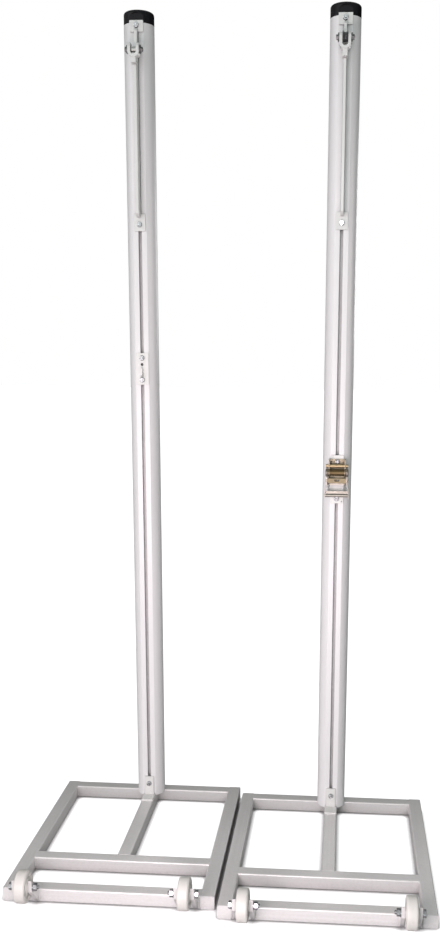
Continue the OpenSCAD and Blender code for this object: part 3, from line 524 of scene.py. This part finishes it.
moulded_plastic("wheel_nylon", (0.725, 0.71, 0.68), (0.685, 0.665, 0.63), (0.45, 0.42, 0.38),
                grain=700.0, low=0.36, high=0.5, dust=0.08, shine=0.5)
# The cap's scuff and dust grey is light, so its worn rim and arch edges show a painted highlight
# along with real scuffing.
moulded_plastic("cap_plastic", (0.009, 0.0085, 0.01), (0.014, 0.0135, 0.016), (0.22, 0.215, 0.22),
                grain=1100.0, low=0.16, high=0.26, dust=0.06, shine=0.14)
moulded_plastic("pulley_plastic", (0.045, 0.045, 0.047), (0.065, 0.065, 0.065), (0.16, 0.16, 0.155),
                grain=1200.0, low=0.05, high=0.1, dust=0.1, shine=0.5)
print("finishes:", len(finishes), "for", len(set(slot_of.values())), "slots")

# %% [markdown]
# ## Pieces
# Every piece made here takes a node's finish and rides on that node's body, and most also stand in
# for the node's solid. Four of the ratchet's parts wear a lighter zinc than their slot says, and
# the bars that run across wear the paint whose lines are turned.

# %% Making and placing pieces
MM = 0.001
SIDES = {"left": -1, "right": 1}
CROSS_BARS = {f"{side}_{bar}" for side in SIDES for bar in ("rear_bar", "crossbar", "front_bar")}
OWN_ZINC = {"ratchet_handle": "ratchet_pale", "ratchet_grip": "ratchet_pale",
            "ratchet_frame": "ratchet_straw", "ratchet_lock_pawl": "ratchet_gold"}


def finish_for(node):
    if node in CROSS_BARS:
        return finishes["base_paint_crosswise"]
    return finishes[OWN_ZINC.get(node, slot_of[node])]


def finish_piece(work, name, node, sharp):
    bmesh.ops.recalc_face_normals(work, faces=work.faces)
    mesh = bpy.data.meshes.new(name)
    work.to_mesh(mesh)
    work.free()
    mesh.polygons.foreach_set("use_smooth", [True]*len(mesh.polygons))
    mesh.set_sharp_from_angle(angle=math.radians(sharp))
    mesh.materials.append(finish_for(node))
    piece = new_object(name, mesh)
    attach(piece, body_of[node])
    print(f"{name}: {len(mesh.polygons)} faces")
    return piece


def stand_in(work, node, ending, sharp):
    piece = finish_piece(work, f"{node}_{ending}", node, sharp)
    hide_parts(node)
    return piece

# %% [markdown]
# ### Eased edges
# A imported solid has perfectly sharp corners, and nothing real does. So the main tool is an eased
# copy: the solid's mesh is copied, its flat faces are merged so that only true edges are left, and
# those edges get a small rounded bevel. Weighted normals keep the flats flat.

# %% Eased copies
ONE_FLAT, TRUE_EDGE = math.radians(0.6), math.radians(28.0)


def eased(node, width):
    work = bmesh.new()
    work.from_mesh(nodes[node].data)
    bmesh.ops.remove_doubles(work, verts=work.verts, dist=2e-6)
    bmesh.ops.dissolve_limit(work, angle_limit=ONE_FLAT, verts=work.verts, edges=work.edges)
    edges = [e for e in work.edges if len(e.link_faces) == 2 and e.calc_face_angle(0.0) > TRUE_EDGE]
    bmesh.ops.bevel(work, geom=edges, offset=width*MM, offset_type="OFFSET", segments=2,
                    profile=0.5, affect="EDGES", clamp_overlap=True)
    bmesh.ops.dissolve_degenerate(work, dist=1e-7, edges=work.edges)
    piece = stand_in(work, node, "eased", 32.0)
    piece.modifiers.new("weighted_normals", "WEIGHTED_NORMAL").keep_sharp = True


PAIRED_WIDTHS = {
    "rear_bar": 0.5, "outer_bar": 0.5, "inner_bar": 0.5, "crossbar": 0.5, "front_bar": 0.5,
    "centre_bar": 0.5, "foot_bracket": 1.1, "post": 0.5, "post_cap": 0.9, "slider_plates": 0.8,
    "slider_bar": 0.9,
}
SINGLE_WIDTHS = {
    "tube_end_plates": 0.6, "wheel_ears": 1.2, "left_cord_fork": 0.9, "right_pulley_fork": 0.9,
    "left_tie_plate": 0.7, "ratchet_plate": 0.7, "ratchet_frame": 0.4, "ratchet_gears": 0.3,
    "ratchet_spool": 0.5, "ratchet_handle": 0.45, "ratchet_drive_pawl": 0.8,
}
for side in SIDES:
    for part, width in PAIRED_WIDTHS.items():
        eased(f"{side}_{part}", width)
for node, width in SINGLE_WIDTHS.items():
    eased(node, width)

# %% [markdown]
# ## Turned parts
# Washers, wheels, nuts and rollers all come off a lathe, so they are made the same way here: a list
# of (radius, height) points is spun round an axis. A radius or a height may also be a rule that
# depends on the angle. That one extra freedom gives hexagons and screw threads with the same few
# lines.

# %% Spinning an outline
def spun(work, outline, place, steps=48, closed=True):
    rings = []
    for radius, level in outline:
        if radius == 0:
            rings.append([work.verts.new(place @ Vector((0, 0, level*MM)))])
            continue
        ring = []
        for i in range(steps):
            angle = 2*math.pi*i/steps
            reach = radius(angle) if callable(radius) else radius
            lift = level(angle) if callable(level) else level
            point = Vector((reach*math.cos(angle), reach*math.sin(angle), lift))
            ring.append(work.verts.new(place @ (point*MM)))
        rings.append(ring)
    for low, high in zip(rings, rings[1:] + (rings[:1] if closed else [])):
        for i in range(steps):
            corners = [low[i % len(low)], low[(i + 1) % steps % len(low)],
                       high[(i + 1) % steps % len(high)], high[i % len(high)]]
            corners = list(dict.fromkeys(corners))
            if len(corners) > 2:
                work.faces.new(corners)


def arc(centre, radius, start, end, steps=6):
    turns = [math.radians(start + (end - start)*i/steps) for i in range(steps + 1)]
    return [(centre[0] + radius*math.cos(t), centre[1] + radius*math.sin(t)) for t in turns]

# %% [markdown]
# ### Where things sit
# Most fittings sit on a post's flat or run across it. Two small frames save a lot of arithmetic:
# one whose Z axis points out of the flat, for bolts, and one whose Z axis points along the world's
# X, for pins and wheels. From here on all sizes are in millimetres, and -1 is the left unit and 1
# the right.

# %% Frames on the posts and bases
UNIT_X = 306.0
UNIT_Y = {-1: -282.0, 1: -325.0}
POST_BACK, POST_RADIUS, HALF_FLAT = 655.0, 45.0, 20.5
FLAT_OUT = math.sqrt(POST_RADIUS**2 - HALF_FLAT**2)
FLAT_Y = {side: UNIT_Y[side] + POST_BACK - FLAT_OUT for side in UNIT_Y}
OUTWARD = Matrix(((1, 0, 0, 0), (0, 0, -1, 0), (0, 1, 0, 0), (0, 0, 0, 1)))
ACROSS = Matrix(((0, 0, 1, 0), (1, 0, 0, 0), (0, 1, 0, 0), (0, 0, 0, 1)))
TURNED_OVER = Matrix.Rotation(math.pi, 4, "X")


def at(x, y, z):
    return Matrix.Translation(Vector((x, y, z))*MM)


def on_flat(side, z):
    return at(side*UNIT_X, FLAT_Y[side], z) @ OUTWARD


def across_flat(side, z, out):
    return at(side*UNIT_X, FLAT_Y[side] - out, z) @ ACROSS


print("flats at y =", {side: round(y, 2) for side, y in FLAT_Y.items()})

# %% [markdown]
# ### Nuts and threads
# A hexagon nut is chamfered on a lathe, which is why its top edge is a circle that dips into six
# arcs. The radius rule below is a hexagon, and the height rule lowers the edge as the radius grows,
# at thirty degrees. A thread is a radius that rises and falls once per pitch and is shifted by the
# angle, so it climbs as a helix.

# %% Hexagons and threads
CORNER_REACH = 1.14
CHAMFER = 0.475
M8_RADIUS, M8_PITCH, M8_FLATS, M8_BORE = 4.0, 1.25, 13.0, 4.05
M12_RADIUS, M12_PITCH, M12_FLATS, M12_BORE = 6.0, 1.75, 19.0, 6.1
ROWS_PER_PITCH = 6


def hexagon(flats):
    half = flats/2
    return lambda angle: min(half/math.cos((angle % (math.pi/3)) - math.pi/6), half*CORNER_REACH)


def chamfered(flats, level, sign=1):
    shape = hexagon(flats)
    return lambda angle: level - sign*(shape(angle) - flats*CHAMFER)*math.tan(math.radians(30))


def hex_nut(work, place, flats, bore, low, high, both=False):
    six, ring = hexagon(flats), flats*CHAMFER
    outline = [(bore, low + 0.5), (bore + 0.5, low)]
    outline += [(ring, low), (six, chamfered(flats, low, -1))] if both else [(six, low)]
    outline += [(six, chamfered(flats, high)), (ring, high), (bore + 0.5, high), (bore, high - 0.5)]
    spun(work, outline, place)


def thread_radius(radius, level, pitch, end):
    def rule(angle):
        ridge = abs(2*((level/pitch - angle/(2*math.pi)) % 1.0) - 1.0)
        return min(radius - 0.5*pitch*ridge, radius - 0.25 + (end - 1.0 - level))
    return rule


def threaded_end(work, place, radius, plain, start, end, pitch):
    rows = max(4, round((end - start)/pitch*ROWS_PER_PITCH))
    outline = [(0, plain), (radius - 0.05, plain), (radius - 0.05, start - 0.1)]
    for i in range(rows + 1):
        level = start + (end - start)*i/rows
        outline.append((thread_radius(radius, level, pitch, end), level))
    outline.append((0, end))
    spun(work, outline, place, 24, closed=False)


def eased_block(work, place, low, high, ease):
    corners = bmesh.ops.create_cube(work, size=1.0)["verts"]
    for vert in corners:
        vert.co = place @ (Vector(low[i] if vert.co[i] < 0 else high[i] for i in range(3))*MM)
    edges = list({edge for vert in corners for edge in vert.link_edges})
    bmesh.ops.bevel(work, geom=edges, offset=ease*MM, segments=2, profile=0.5, affect="EDGES")

# %% [markdown]
# ## Slot bolts
# Every fitting is held by a bolt whose tee head slides in the groove behind the slot, with a
# flanged nut in front. The flange spreads the load on the paint, so no loose washer is needed.
# Flange and hexagon are spun as one piece, and two turns of thread stand proud of the nut.

# %% Slot bolts
NUT_HEIGHT = 8.1
THREAD_PROUD = 3.0


def slot_bolt(work, side, z, stack):
    place = on_flat(side, z)
    eased_block(work, place, (-11.4, -9.0, -11.9), (11.4, 9.0, -4.3), 0.8)
    eased_block(work, place, (-4.6, -4.6, -4.4), (4.6, 4.6, -0.5), 0.5)
    top, six = stack + NUT_HEIGHT, hexagon(M8_FLATS)
    threaded_end(work, place, M8_RADIUS, -4.0, top - 1.0, top + THREAD_PROUD, M8_PITCH)
    spun(work, [(M8_BORE, stack + 0.3), (4.4, stack), (7.6, stack), (8.0, stack + 0.35),
                (8.0, stack + 1.0), (7.5, stack + 1.5), (six, stack + 2.1),
                (six, chamfered(M8_FLATS, top)), (M8_FLATS*CHAMFER, top), (4.5, top),
                (M8_BORE, top - 0.5)], place)


SLIDER_TOP, SLIDER_LOW = 2456.0, 1895.0
BOLTED = {  # unit, height, and thickness of what the nut holds down
    "foot_bolts": [(-1, 84.0, 6.0), (1, 84.0, 6.0)],
    "left_slider_bolts": [(-1, SLIDER_TOP, 5.3), (-1, SLIDER_LOW, 5.3)],
    "right_slider_bolts": [(1, SLIDER_TOP, 5.3), (1, SLIDER_LOW, 5.3)],
    "left_tie_bolts": [(-1, 1497.0, 4.3), (-1, 1430.0, 4.3)],
    "ratchet_plate_bolts": [(1, 1189.0, 6.8), (1, 1073.0, 4.3)],
}
for node, spots in BOLTED.items():
    work = bmesh.new()
    for spot in spots:
        slot_bolt(work, *spot)
    stand_in(work, node, "threaded", 24.0)

# %% [markdown]
# ## Transport wheels
# The four wheels are solid nylon, turned with a rounded tread, a ring groove in each side that
# saves material, and a raised hub that keeps the ears apart. The outline runs once round the
# section, from the bore over the hub, down into the groove and over the tread. A fine step near the
# rim is the mark of the lathe's last cut.

# %% Wheels
WHEEL_OUT, WHEEL_AHEAD, WHEEL_Z = 224.0, 48.0, 74.0
AXLE_SPOTS = {"left_outer": (-1, -1), "left_inner": (-1, 1), "right_inner": (1, -1),
              "right_outer": (1, 1)}


def mirrored(half):
    return half + [(radius, -level) for radius, level in reversed(half)]


def at_axle(side, hand):
    middle = at(side*UNIT_X + hand*WHEEL_OUT, UNIT_Y[side] - WHEEL_AHEAD, WHEEL_Z)
    return middle @ Matrix.Rotation(0.0 if hand > 0 else math.pi, 4, "Z") @ ACROSS


half = [(8.05, 17.2), (8.45, 17.6), (14.3, 17.6), (15.0, 16.9), (15.0, 16.2), (16.2, 16.0),
        (20.9, 16.0)]
half += arc((26.5, 16.0), 5.0, 180, 360, 12)
half += [(32.1, 16.0), (35.6, 16.0), (35.9, 15.75), (36.6, 15.75), (36.9, 16.0), (38.0, 16.0)]
half += arc((38.0, 9.0), 7.0, 90, 0, 10)[1:] + [(45.0, 3.0)]
for name, (side, hand) in AXLE_SPOTS.items():
    work = bmesh.new()
    spun(work, mirrored(half), at_axle(side, hand), 96)
    stand_in(work, name + "_wheel", "turned", 38.0)

# %% [markdown]
# ### Axle bolts and nuts
# Each wheel turns on a sleeve round a twelve millimetre bolt. Heads point away from the base's
# middle and nuts towards it, with a washer under each. Both are spun, the nut with a chamfer at
# either end.

# %% Axle bolts and nuts
bolts, nuts = bmesh.new(), bmesh.new()
for side, hand in AXLE_SPOTS.values():
    place, six = at_axle(side, hand), hexagon(M12_FLATS)
    spun(bolts, [(0, 38.3), (5.0, 38.3), (5.6, 38.5), (9.0, 38.5),
                 (six, chamfered(M12_FLATS, 38.5)), (six, 30.9), (9.2, 30.9), (9.2, 30.5),
                 (0, 30.5)], place, closed=False)
    threaded_end(bolts, place @ TURNED_OVER, M12_RADIUS, -30.6, 39.5, 45.5, M12_PITCH)
    for low in (28.0, -30.5):
        spun(nuts, [(M12_BORE, low), (11.6, low), (12.0, low + 0.4), (12.0, low + 2.1),
                    (11.6, low + 2.5), (M12_BORE, low + 2.5)], place)
    hex_nut(nuts, place, M12_FLATS, M12_BORE, -40.5, -30.5, both=True)
stand_in(bolts, "wheel_axle_bolts", "turned", 24.0)
stand_in(nuts, "wheel_axle_nuts", "turned", 24.0)

# %% [markdown]
# ## Cord roller and pulley
# The net's head cord runs over a small steel roller on the left and a grooved pulley on the right.
# Both are spun. The groove's section is an arc, so the cord sits in it without being pinched.

# %% Roller and pulley
PIN_OUT, ROLLER_Z, PULLEY_Z = 45.0, 2379.0, 2393.0
work = bmesh.new()
half = [(4.05, -7.4), (4.45, -7.8), (7.4, -7.8), (8.0, -7.2), (8.0, -6.0), (7.8, -5.8)]
spun(work, mirrored(half), across_flat(-1, ROLLER_Z, PIN_OUT), 64)
stand_in(work, "left_cord_roller", "turned", 30.0)

groove_end = math.degrees(math.acos(1.0/6.0))
half = [(6.05, 7.4), (6.45, 7.8), (9.0, 7.8), (9.3, 7.5), (13.8, 7.5), (14.1, 7.8)]
half += arc((16.5, 6.3), 1.5, 90, 0, 5) + arc((19.0, 0.0), 6.0, 180 - groove_end, 180, 8)
pulley_outline = half + [(radius, -level) for radius, level in reversed(half[:-1])]
work = bmesh.new()
spun(work, pulley_outline, across_flat(1, PULLEY_Z, PIN_OUT), 72)
stand_in(work, "right_pulley_wheel", "turned", 30.0)

# %% [markdown]
# ### Pins
# Roller and pulley turn on eight millimetre bolts. A thick stepped washer lies outside each cheek
# of the fork, between it and the bolt's head or the nut.

# %% Pins, washers and nuts
CHEEK_FACE, WASHER_FACE = 16.8, 20.8


def fork_pin(node, side, z):
    work = bmesh.new()
    place, six = across_flat(side, z, PIN_OUT), hexagon(M8_FLATS)
    for sign in (-1, 1):
        near, far = sorted((sign*CHEEK_FACE, sign*WASHER_FACE))
        spun(work, [(M8_BORE, near), (11.3, near), (12.0, near + 0.7), (12.0, far - 0.7),
                    (11.3, far), (9.2, far), (8.9, far - 0.3), (8.4, far - 0.3), (8.1, far),
                    (M8_BORE, far)], place)
    hex_nut(work, place, M8_FLATS, M8_BORE, WASHER_FACE, 26.3)
    threaded_end(work, place, M8_RADIUS, -WASHER_FACE, 25.3, 27.3, M8_PITCH)
    spun(work, [(0, 5.1), (3.2, 5.1), (3.6, 5.3), (6.1, 5.3), (six, chamfered(M8_FLATS, 5.3)),
                (six, 0), (0, 0)], place @ at(0, 0, -WASHER_FACE) @ TURNED_OVER, closed=False)
    stand_in(work, node, "turned", 24.0)


fork_pin("left_fork_pin", -1, ROLLER_Z)
fork_pin("right_pulley_pin", 1, PULLEY_Z)

# %% [markdown]
# ## Ratchet grip, lock pawl and washers
# The ratchet is stamped from plated sheet. Its sheet parts are eased copies. The grip bar is a tube
# over a riveted pin, with domed rivet heads outside the arms, and the washers under the spool's
# ends are spun. The lock pawl is a bar with a crowned front, which catches the light along its
# middle, so its section is drawn and stretched from end to end.

# %% Grip
SPOOL_Z, SPOOL_OUT = 1157.0, 28.0
work = bmesh.new()
place = across_flat(1, SPOOL_Z - 71.0, SPOOL_OUT - 2.5)
tube = [(3.1, -34.1), (4.9, -34.1)] + arc((4.6, -33.3), 0.8, -90, 0, 3)[1:] + [(5.25, -30.5)]
tube += [(5.25, 30.5)] + arc((4.6, 33.3), 0.8, 0, 90, 3)[:-1] + [(4.9, 34.1), (3.1, 34.1)]
spun(work, tube, place, 40)
spun(work, [(0, -37.6), (2.0, -37.5), (3.4, -37.2), (4.1, -36.85), (4.2, -36.6), (3.0, -36.6),
            (3.0, 36.6), (4.2, 36.6), (4.1, 36.85), (3.4, 37.2), (2.0, 37.5), (0, 37.6)], place, 32,
     closed=False)
stand_in(work, "ratchet_grip", "rolled", 34.0)

# %% Crowned lock pawl
LOCK_HEIGHT = 11.4
work = bmesh.new()
lock_corners = [corner.co for corner in nodes["ratchet_lock_pawl"].data.vertices]
low = [min(corner[axis] for corner in lock_corners) for axis in range(3)]
high = [max(corner[axis] for corner in lock_corners) for axis in range(3)]
front = [(out, LOCK_HEIGHT/2 + side) for side, out in arc((0.0, -3.52), 6.92, 34.6, 145.4, 12)]
crown = [(0.0, 0.0), *reversed(front), (0.0, LOCK_HEIGHT)]
ends = []
for x in (low[0], high[0]):
    ends.append(work.faces.new(
        [work.verts.new((x, high[1] - out*MM, low[2] + rise*MM)) for out, rise in crown]))
for i in range(len(crown)):
    j = (i + 1) % len(crown)
    work.faces.new([ends[0].verts[i], ends[0].verts[j], ends[1].verts[j], ends[1].verts[i]])
stand_in(work, "ratchet_lock_pawl", "crowned", 40.0)

# %% Spool washers
work = bmesh.new()
for near in (-33.8, 32.2):
    spun(work, [(10.05, near), (12.7, near), (13.0, near + 0.3), (13.0, near + 1.3),
                (12.7, near + 1.6), (10.05, near + 1.6)], across_flat(1, SPOOL_Z, SPOOL_OUT), 56)
stand_in(work, "ratchet_washers", "turned", 30.0)

# %% [markdown]
# ### Springs
# Two springs push the drive pawl up and two push the lock pawl down. A spring is a wire swept along
# a helix: a ring of points is carried along the path, always square to it.

# %% A wire swept along a path
WIRE_SIDES = 8
COIL_RADIUS, WIRE, STEPS_PER_TURN = 2.6, 0.9, 24


def swept_wire(work, path, radius):
    rings = []
    for i, point in enumerate(path):
        along = (path[min(i + 1, len(path) - 1)] - path[max(i - 1, 0)]).normalized()
        side = along.cross(Vector((0.31, 0.17, 0.94))).normalized()
        other = along.cross(side)
        reach = radius[i] if isinstance(radius, list) else radius
        rings.append([work.verts.new((point + (side*math.cos(a) + other*math.sin(a))*reach)*MM)
                      for a in (2*math.pi*k/WIRE_SIDES for k in range(WIRE_SIDES))])
    for low, high in zip(rings, rings[1:]):
        for k in range(WIRE_SIDES):
            j = (k + 1) % WIRE_SIDES
            work.faces.new((low[k], low[j], high[j], high[k]))
    work.faces.new(rings[0][::-1])
    work.faces.new(rings[-1])


def spring_path(centre, length, turns):
    count = turns*STEPS_PER_TURN
    path = []
    for i in range(count + 1):
        angle, share = 2*math.pi*i/STEPS_PER_TURN, i/count
        closed_ends = share - 0.02*math.sin(2*math.pi*share)
        rise = WIRE/2 + (length - WIRE)*min(max(closed_ends, 0.0), 1.0)
        coil = Vector((COIL_RADIUS*math.cos(angle), COIL_RADIUS*math.sin(angle), rise))
        path.append(Vector(centre) + coil)
    return path


SPRINGS = {  # distance from the middle, foot, length, turns, joint, seat in metres, shortest share
    "ratchet_drive_springs": (24.8, 1100.0, 24.0, 6, "drive_pawl_pull", 1.1, 19/24),
    "ratchet_lock_springs": (19.0, 1183.0, 12.0, 3, "lock_pawl_lift", 1.195, 7/12),
}
spring_y = FLAT_Y[1] - SPOOL_OUT
for node, (offset, foot, length, turns, joint, seat, keep) in SPRINGS.items():
    work = bmesh.new()
    for sign in (-1, 1):
        centre = (UNIT_X + sign*offset, spring_y, foot)
        swept_wire(work, spring_path(centre, length, turns), WIRE/2)
    piece = stand_in(work, node, "wound", 40.0)
    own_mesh(piece)

# %% [markdown]
# ## Weld beads
# The tubes, ears and brackets are welded, then painted. A bead is a thick wire along the joint
# whose radius ripples every few millimetres, one ripple for each time the welder paused. The jitter
# is seeded, so every run gives the same beads. They take the same paint as the parts they join.

# %% Beads on the bases
welder = random.Random(7)
BAR, BASE_END = 40.0, 697.5
SIDE_LOW, SIDE_HIGH, SHOULDER, TOP = 4.0, 34.5, 37.6, 38.7


def bead(work, corners, radius):
    path, reach = [], []
    for start, end in zip(corners, corners[1:]):
        start, end = Vector(start), Vector(end)
        count = max(2, int((end - start).length/1.1))
        for i in range(count):
            path.append(start.lerp(end, i/count))
    path.append(Vector(corners[-1]))
    for i in range(len(path)):
        reach.append(radius*(1.0 + 0.09*math.sin(i*1.9) + welder.uniform(-0.05, 0.05)))
    reach[0] = reach[-1] = radius*0.45
    swept_wire(work, path, reach)


def over_tube(face, inward, start, end):
    side, top = face + inward*0.3, face - inward*1.1
    half = [(start - 0.2, SIDE_LOW, side), (start - 0.2, SIDE_HIGH, side),
            (start + 1.6, SHOULDER, top), (start + 5.0, TOP, top)]
    return half + [(start + end - along, z, depth) for along, z, depth in reversed(half)]


def base_beads(side):
    work = bmesh.new()
    x0, y0 = side*UNIT_X, UNIT_Y[side]
    for inward in (-1, 1):
        for bar in (0.0, 172.0, 660.0):
            back = y0 + min(bar + BAR, BASE_END)
            joint = over_tube(x0 - inward*260.0, inward, y0 + bar, back)
            bead(work, [(x, y, z) for y, z, x in joint], 1.8)
    for y, inward in ((212.0, 1), (660.0, -1)):
        joint = over_tube(y0 + y, inward, x0 - BAR/2, x0 + BAR/2)
        bead(work, [(x, y, z) for x, z, y in joint], 1.8)
    for hand in (-1, 1):
        for ear in (-1, 1):
            for face in (-1, 1):
                x = x0 + hand*WHEEL_OUT + ear*23.0 + face*5.0
                bead(work, [(x, y0 - 0.2, 4.5), (x, y0 - 0.2, 36.0)], 1.5)
    back, front = FLAT_Y[side] - 4.0, FLAT_Y[side] - 48.0
    for hand in (-1, 1):
        bead(work, [(x0 + hand*19.0, back, 39.6), (x0 + hand*19.2, front, 39.6)], 1.3)
    bead(work, [(x0 - 17.5, front, 40.2), (x0 + 17.5, front, 40.2)], 1.4)
    return work


for name, side in SIDES.items():
    finish_piece(base_beads(side), name + "_base_beads", name + "_rear_bar", 60.0)

# %% [markdown]
# ### Small beads
# The slider bars stand between their clamp plates, the forks hang on the bars, and the tie plate's
# hook stands on its plate. Thin short beads join them.

# %% Beads on the sliders and the tie plate
SMALL_BEAD = 0.9
PLATE_FACE, TIE_FACE = 5.3, 4.3


def upright_beads(work, side, x, out, low, high):
    for sign in (-1, 1):
        spot = side*UNIT_X + sign*x, FLAT_Y[side] - out
        bead(work, [(*spot, low), (*spot, high)], SMALL_BEAD)


for name, side in SIDES.items():
    work = bmesh.new()
    upright_beads(work, side, 4.6, PLATE_FACE, 1915.5, 1925.0)
    upright_beads(work, side, 4.6, PLATE_FACE, 2439.0, 2445.5)
    for sign in (-1, 1):
        x = side*UNIT_X + sign*4.6
        bead(work, [(x, FLAT_Y[side] - out, 2342.4) for out in (33.5, 20.5)], SMALL_BEAD)
    finish_piece(work, name + "_slider_beads", name + "_slider_bar", 60.0)
work = bmesh.new()
upright_beads(work, -1, 3.1, TIE_FACE, 1440.5, 1449.5)
finish_piece(work, "left_tie_beads", "left_tie_plate", 60.0)

# %% [markdown]
# ## Finishes on the other solids
# A solid whose shape is already right is left as it is, and only takes its finish.

# %% Finishes for solids that stay
for name, node in nodes.items():
    node.data.materials[0] = finish_for(name)
print("finished:", len(nodes), "nodes")

# %% [markdown]
# ## Floor, backdrop and light
# The posts stand on a plain pale floor that melts into a white backdrop. The floor adds a little
# light of its own, seen by the camera only, so that it shines on nothing. Ambient occlusion dims it
# close to the bases, which leaves a soft contact shadow.

# %% Floor and backdrop
floor_mesh = bpy.data.meshes.new("floor")
floor_mesh.from_pydata([(-30, -30, 0), (30, -30, 0), (30, 30, 0), (-30, 30, 0)], [], [(0, 1, 2, 3)])
floor_finish = bpy.data.materials.new("floor_finish")
floor_finish.use_nodes = True
floor_tree = floor_finish.node_tree
floor_shader = floor_tree.nodes["Principled BSDF"]
floor_shader.inputs["Roughness"].default_value = 0.9
floor_shader.inputs["Base Color"].default_value = (0.46, 0.45, 0.455, 1.0)
floor_shader.inputs["Emission Color"].default_value = (1.0, 1.0, 1.0, 1.0)
contact = put(floor_tree, "ShaderNodeAmbientOcclusion", {"Distance": 0.022}, samples=8)
seen_floor = put(floor_tree, "ShaderNodeLightPath").outputs["Is Camera Ray"]
glow = times(floor_tree, remap(floor_tree, contact.outputs["AO"], 0.45, 0.9), seen_floor)
floor_tree.links.new(glow, floor_shader.inputs["Emission Strength"])
floor_mesh.materials.append(floor_finish)
floor = new_object("floor", floor_mesh)
print("floor:", tuple(round(v) for v in floor.dimensions), "m")

# %% [markdown]
# ### Light from the room
# The posts are round and satin, so they show where the light comes from. The brightest window is in
# front and to the left, weaker ones stand at the left, in front to the right and behind, and the
# ceiling is a little lit. That gives the posts a light side, a slow fall-off and a thin dark rim on
# the right. A window is a soft lobe around its heading, which is counted from the viewer's side
# towards the left. The camera sees plain white past the floor.

# %% Surroundings
world = bpy.data.worlds.new("surroundings")
world.use_nodes = True
bpy.context.scene.world = world
sky = world.node_tree
sky.nodes.clear()
look = put(sky, "ShaderNodeTexCoord").outputs["Generated"]
height = part_of(sky, look, "Z")
CEILING = (0.47, 0.5, 0.49)
WINDOWS = ((35.0, (1.76, 1.84, 1.86)), (70.0, (0.34, 0.36, 0.35)),
           (-45.0, (0.26, 0.4, 0.34)), (140.0, (0.21, 0.2, 0.2)))


def tinted(amount, tint):
    feeds = {0: tint, "Scale": amount}
    return put(sky, "ShaderNodeVectorMath", feeds, operation="SCALE").outputs["Vector"]


def window(heading):
    turn = math.radians(heading)
    facing = dot(sky, look, (-math.sin(turn), -math.cos(turn), 0.0))
    return times(sky, remap(sky, facing, 0.45, 0.95, shape="SMOOTHSTEP"),
                 remap(sky, height, 0.7, 0.1, shape="SMOOTHSTEP"))


total = tinted(remap(sky, height, 0.4, 0.8, shape="SMOOTHSTEP"), CEILING)
for heading, tint in WINDOWS:
    lit = tinted(window(heading), tint)
    total = put(sky, "ShaderNodeVectorMath", {0: total, 1: lit}).outputs["Vector"]
soft_light = put(sky, "ShaderNodeBackground", {"Color": total, "Strength": 1.0}).outputs[0]
white = opaque((1.0, 1.0, 1.0))
plain_white = put(sky, "ShaderNodeBackground", {"Color": white, "Strength": 1.0}).outputs[0]
seen = put(sky, "ShaderNodeLightPath").outputs["Is Camera Ray"]
both = put(sky, "ShaderNodeMixShader", {0: seen, 1: soft_light, 2: plain_white}).outputs[0]
put(sky, "ShaderNodeOutputWorld", {"Surface": both})
print("windows:", len(WINDOWS))

# %% [markdown]
# ### Soft lamps
# Square soft lamps help the windows. Two low ones in front light the bars' fronts and the wheels,
# and one at the right lifts the shaded flanks. One behind keeps the backs of the posts from going
# grey. These two have a narrow fan above the floor, so that the bars' right sides stay in shade. A
# small bright lamp near the viewer puts a spark on bolt heads.

# %% Lamps
LAMPS = {  # place, size, power, colour, height it is aimed at, width of its fan
    "near_low_lamp": ((-0.3, -1.9, 0.9), 0.8, 23.0, (1.0, 0.85, 0.88), 0.9, 180.0),
    "floor_lamp": ((0.1, -1.6, 0.3), 0.7, 5.0, (1.0, 0.95, 1.0), 0.9, 180.0),
    "right_lamp": ((3.2, -0.4, 1.8), 1.4, 1.9, (1.0, 0.82, 0.85), 1.8, 76.0),
    "rear_lamp": ((1.7, 3.3, 2.1), 1.2, 4.6, (1.0, 1.0, 1.0), 2.1, 84.0),
    "spark_lamp": ((0.3, -2.3, 2.2), 0.12, 3.0, (1.0, 1.0, 1.0), 0.9, 180.0),
}
for name, (place, size, power, colour, aim, fan) in LAMPS.items():
    data = bpy.data.lights.new(name, "AREA")
    data.size = size
    data.energy = power
    data.color = colour
    data.spread = math.radians(fan)
    lamp = new_object(name, data)
    lamp.location = place
    toward = Vector((0.0, 0.2, aim)) - Vector(place)
    lamp.rotation_euler = toward.to_track_quat("-Z", "Y").to_euler()
bpy.context.scene.view_settings.view_transform = "Standard"
print("lamps:", sorted(LAMPS))
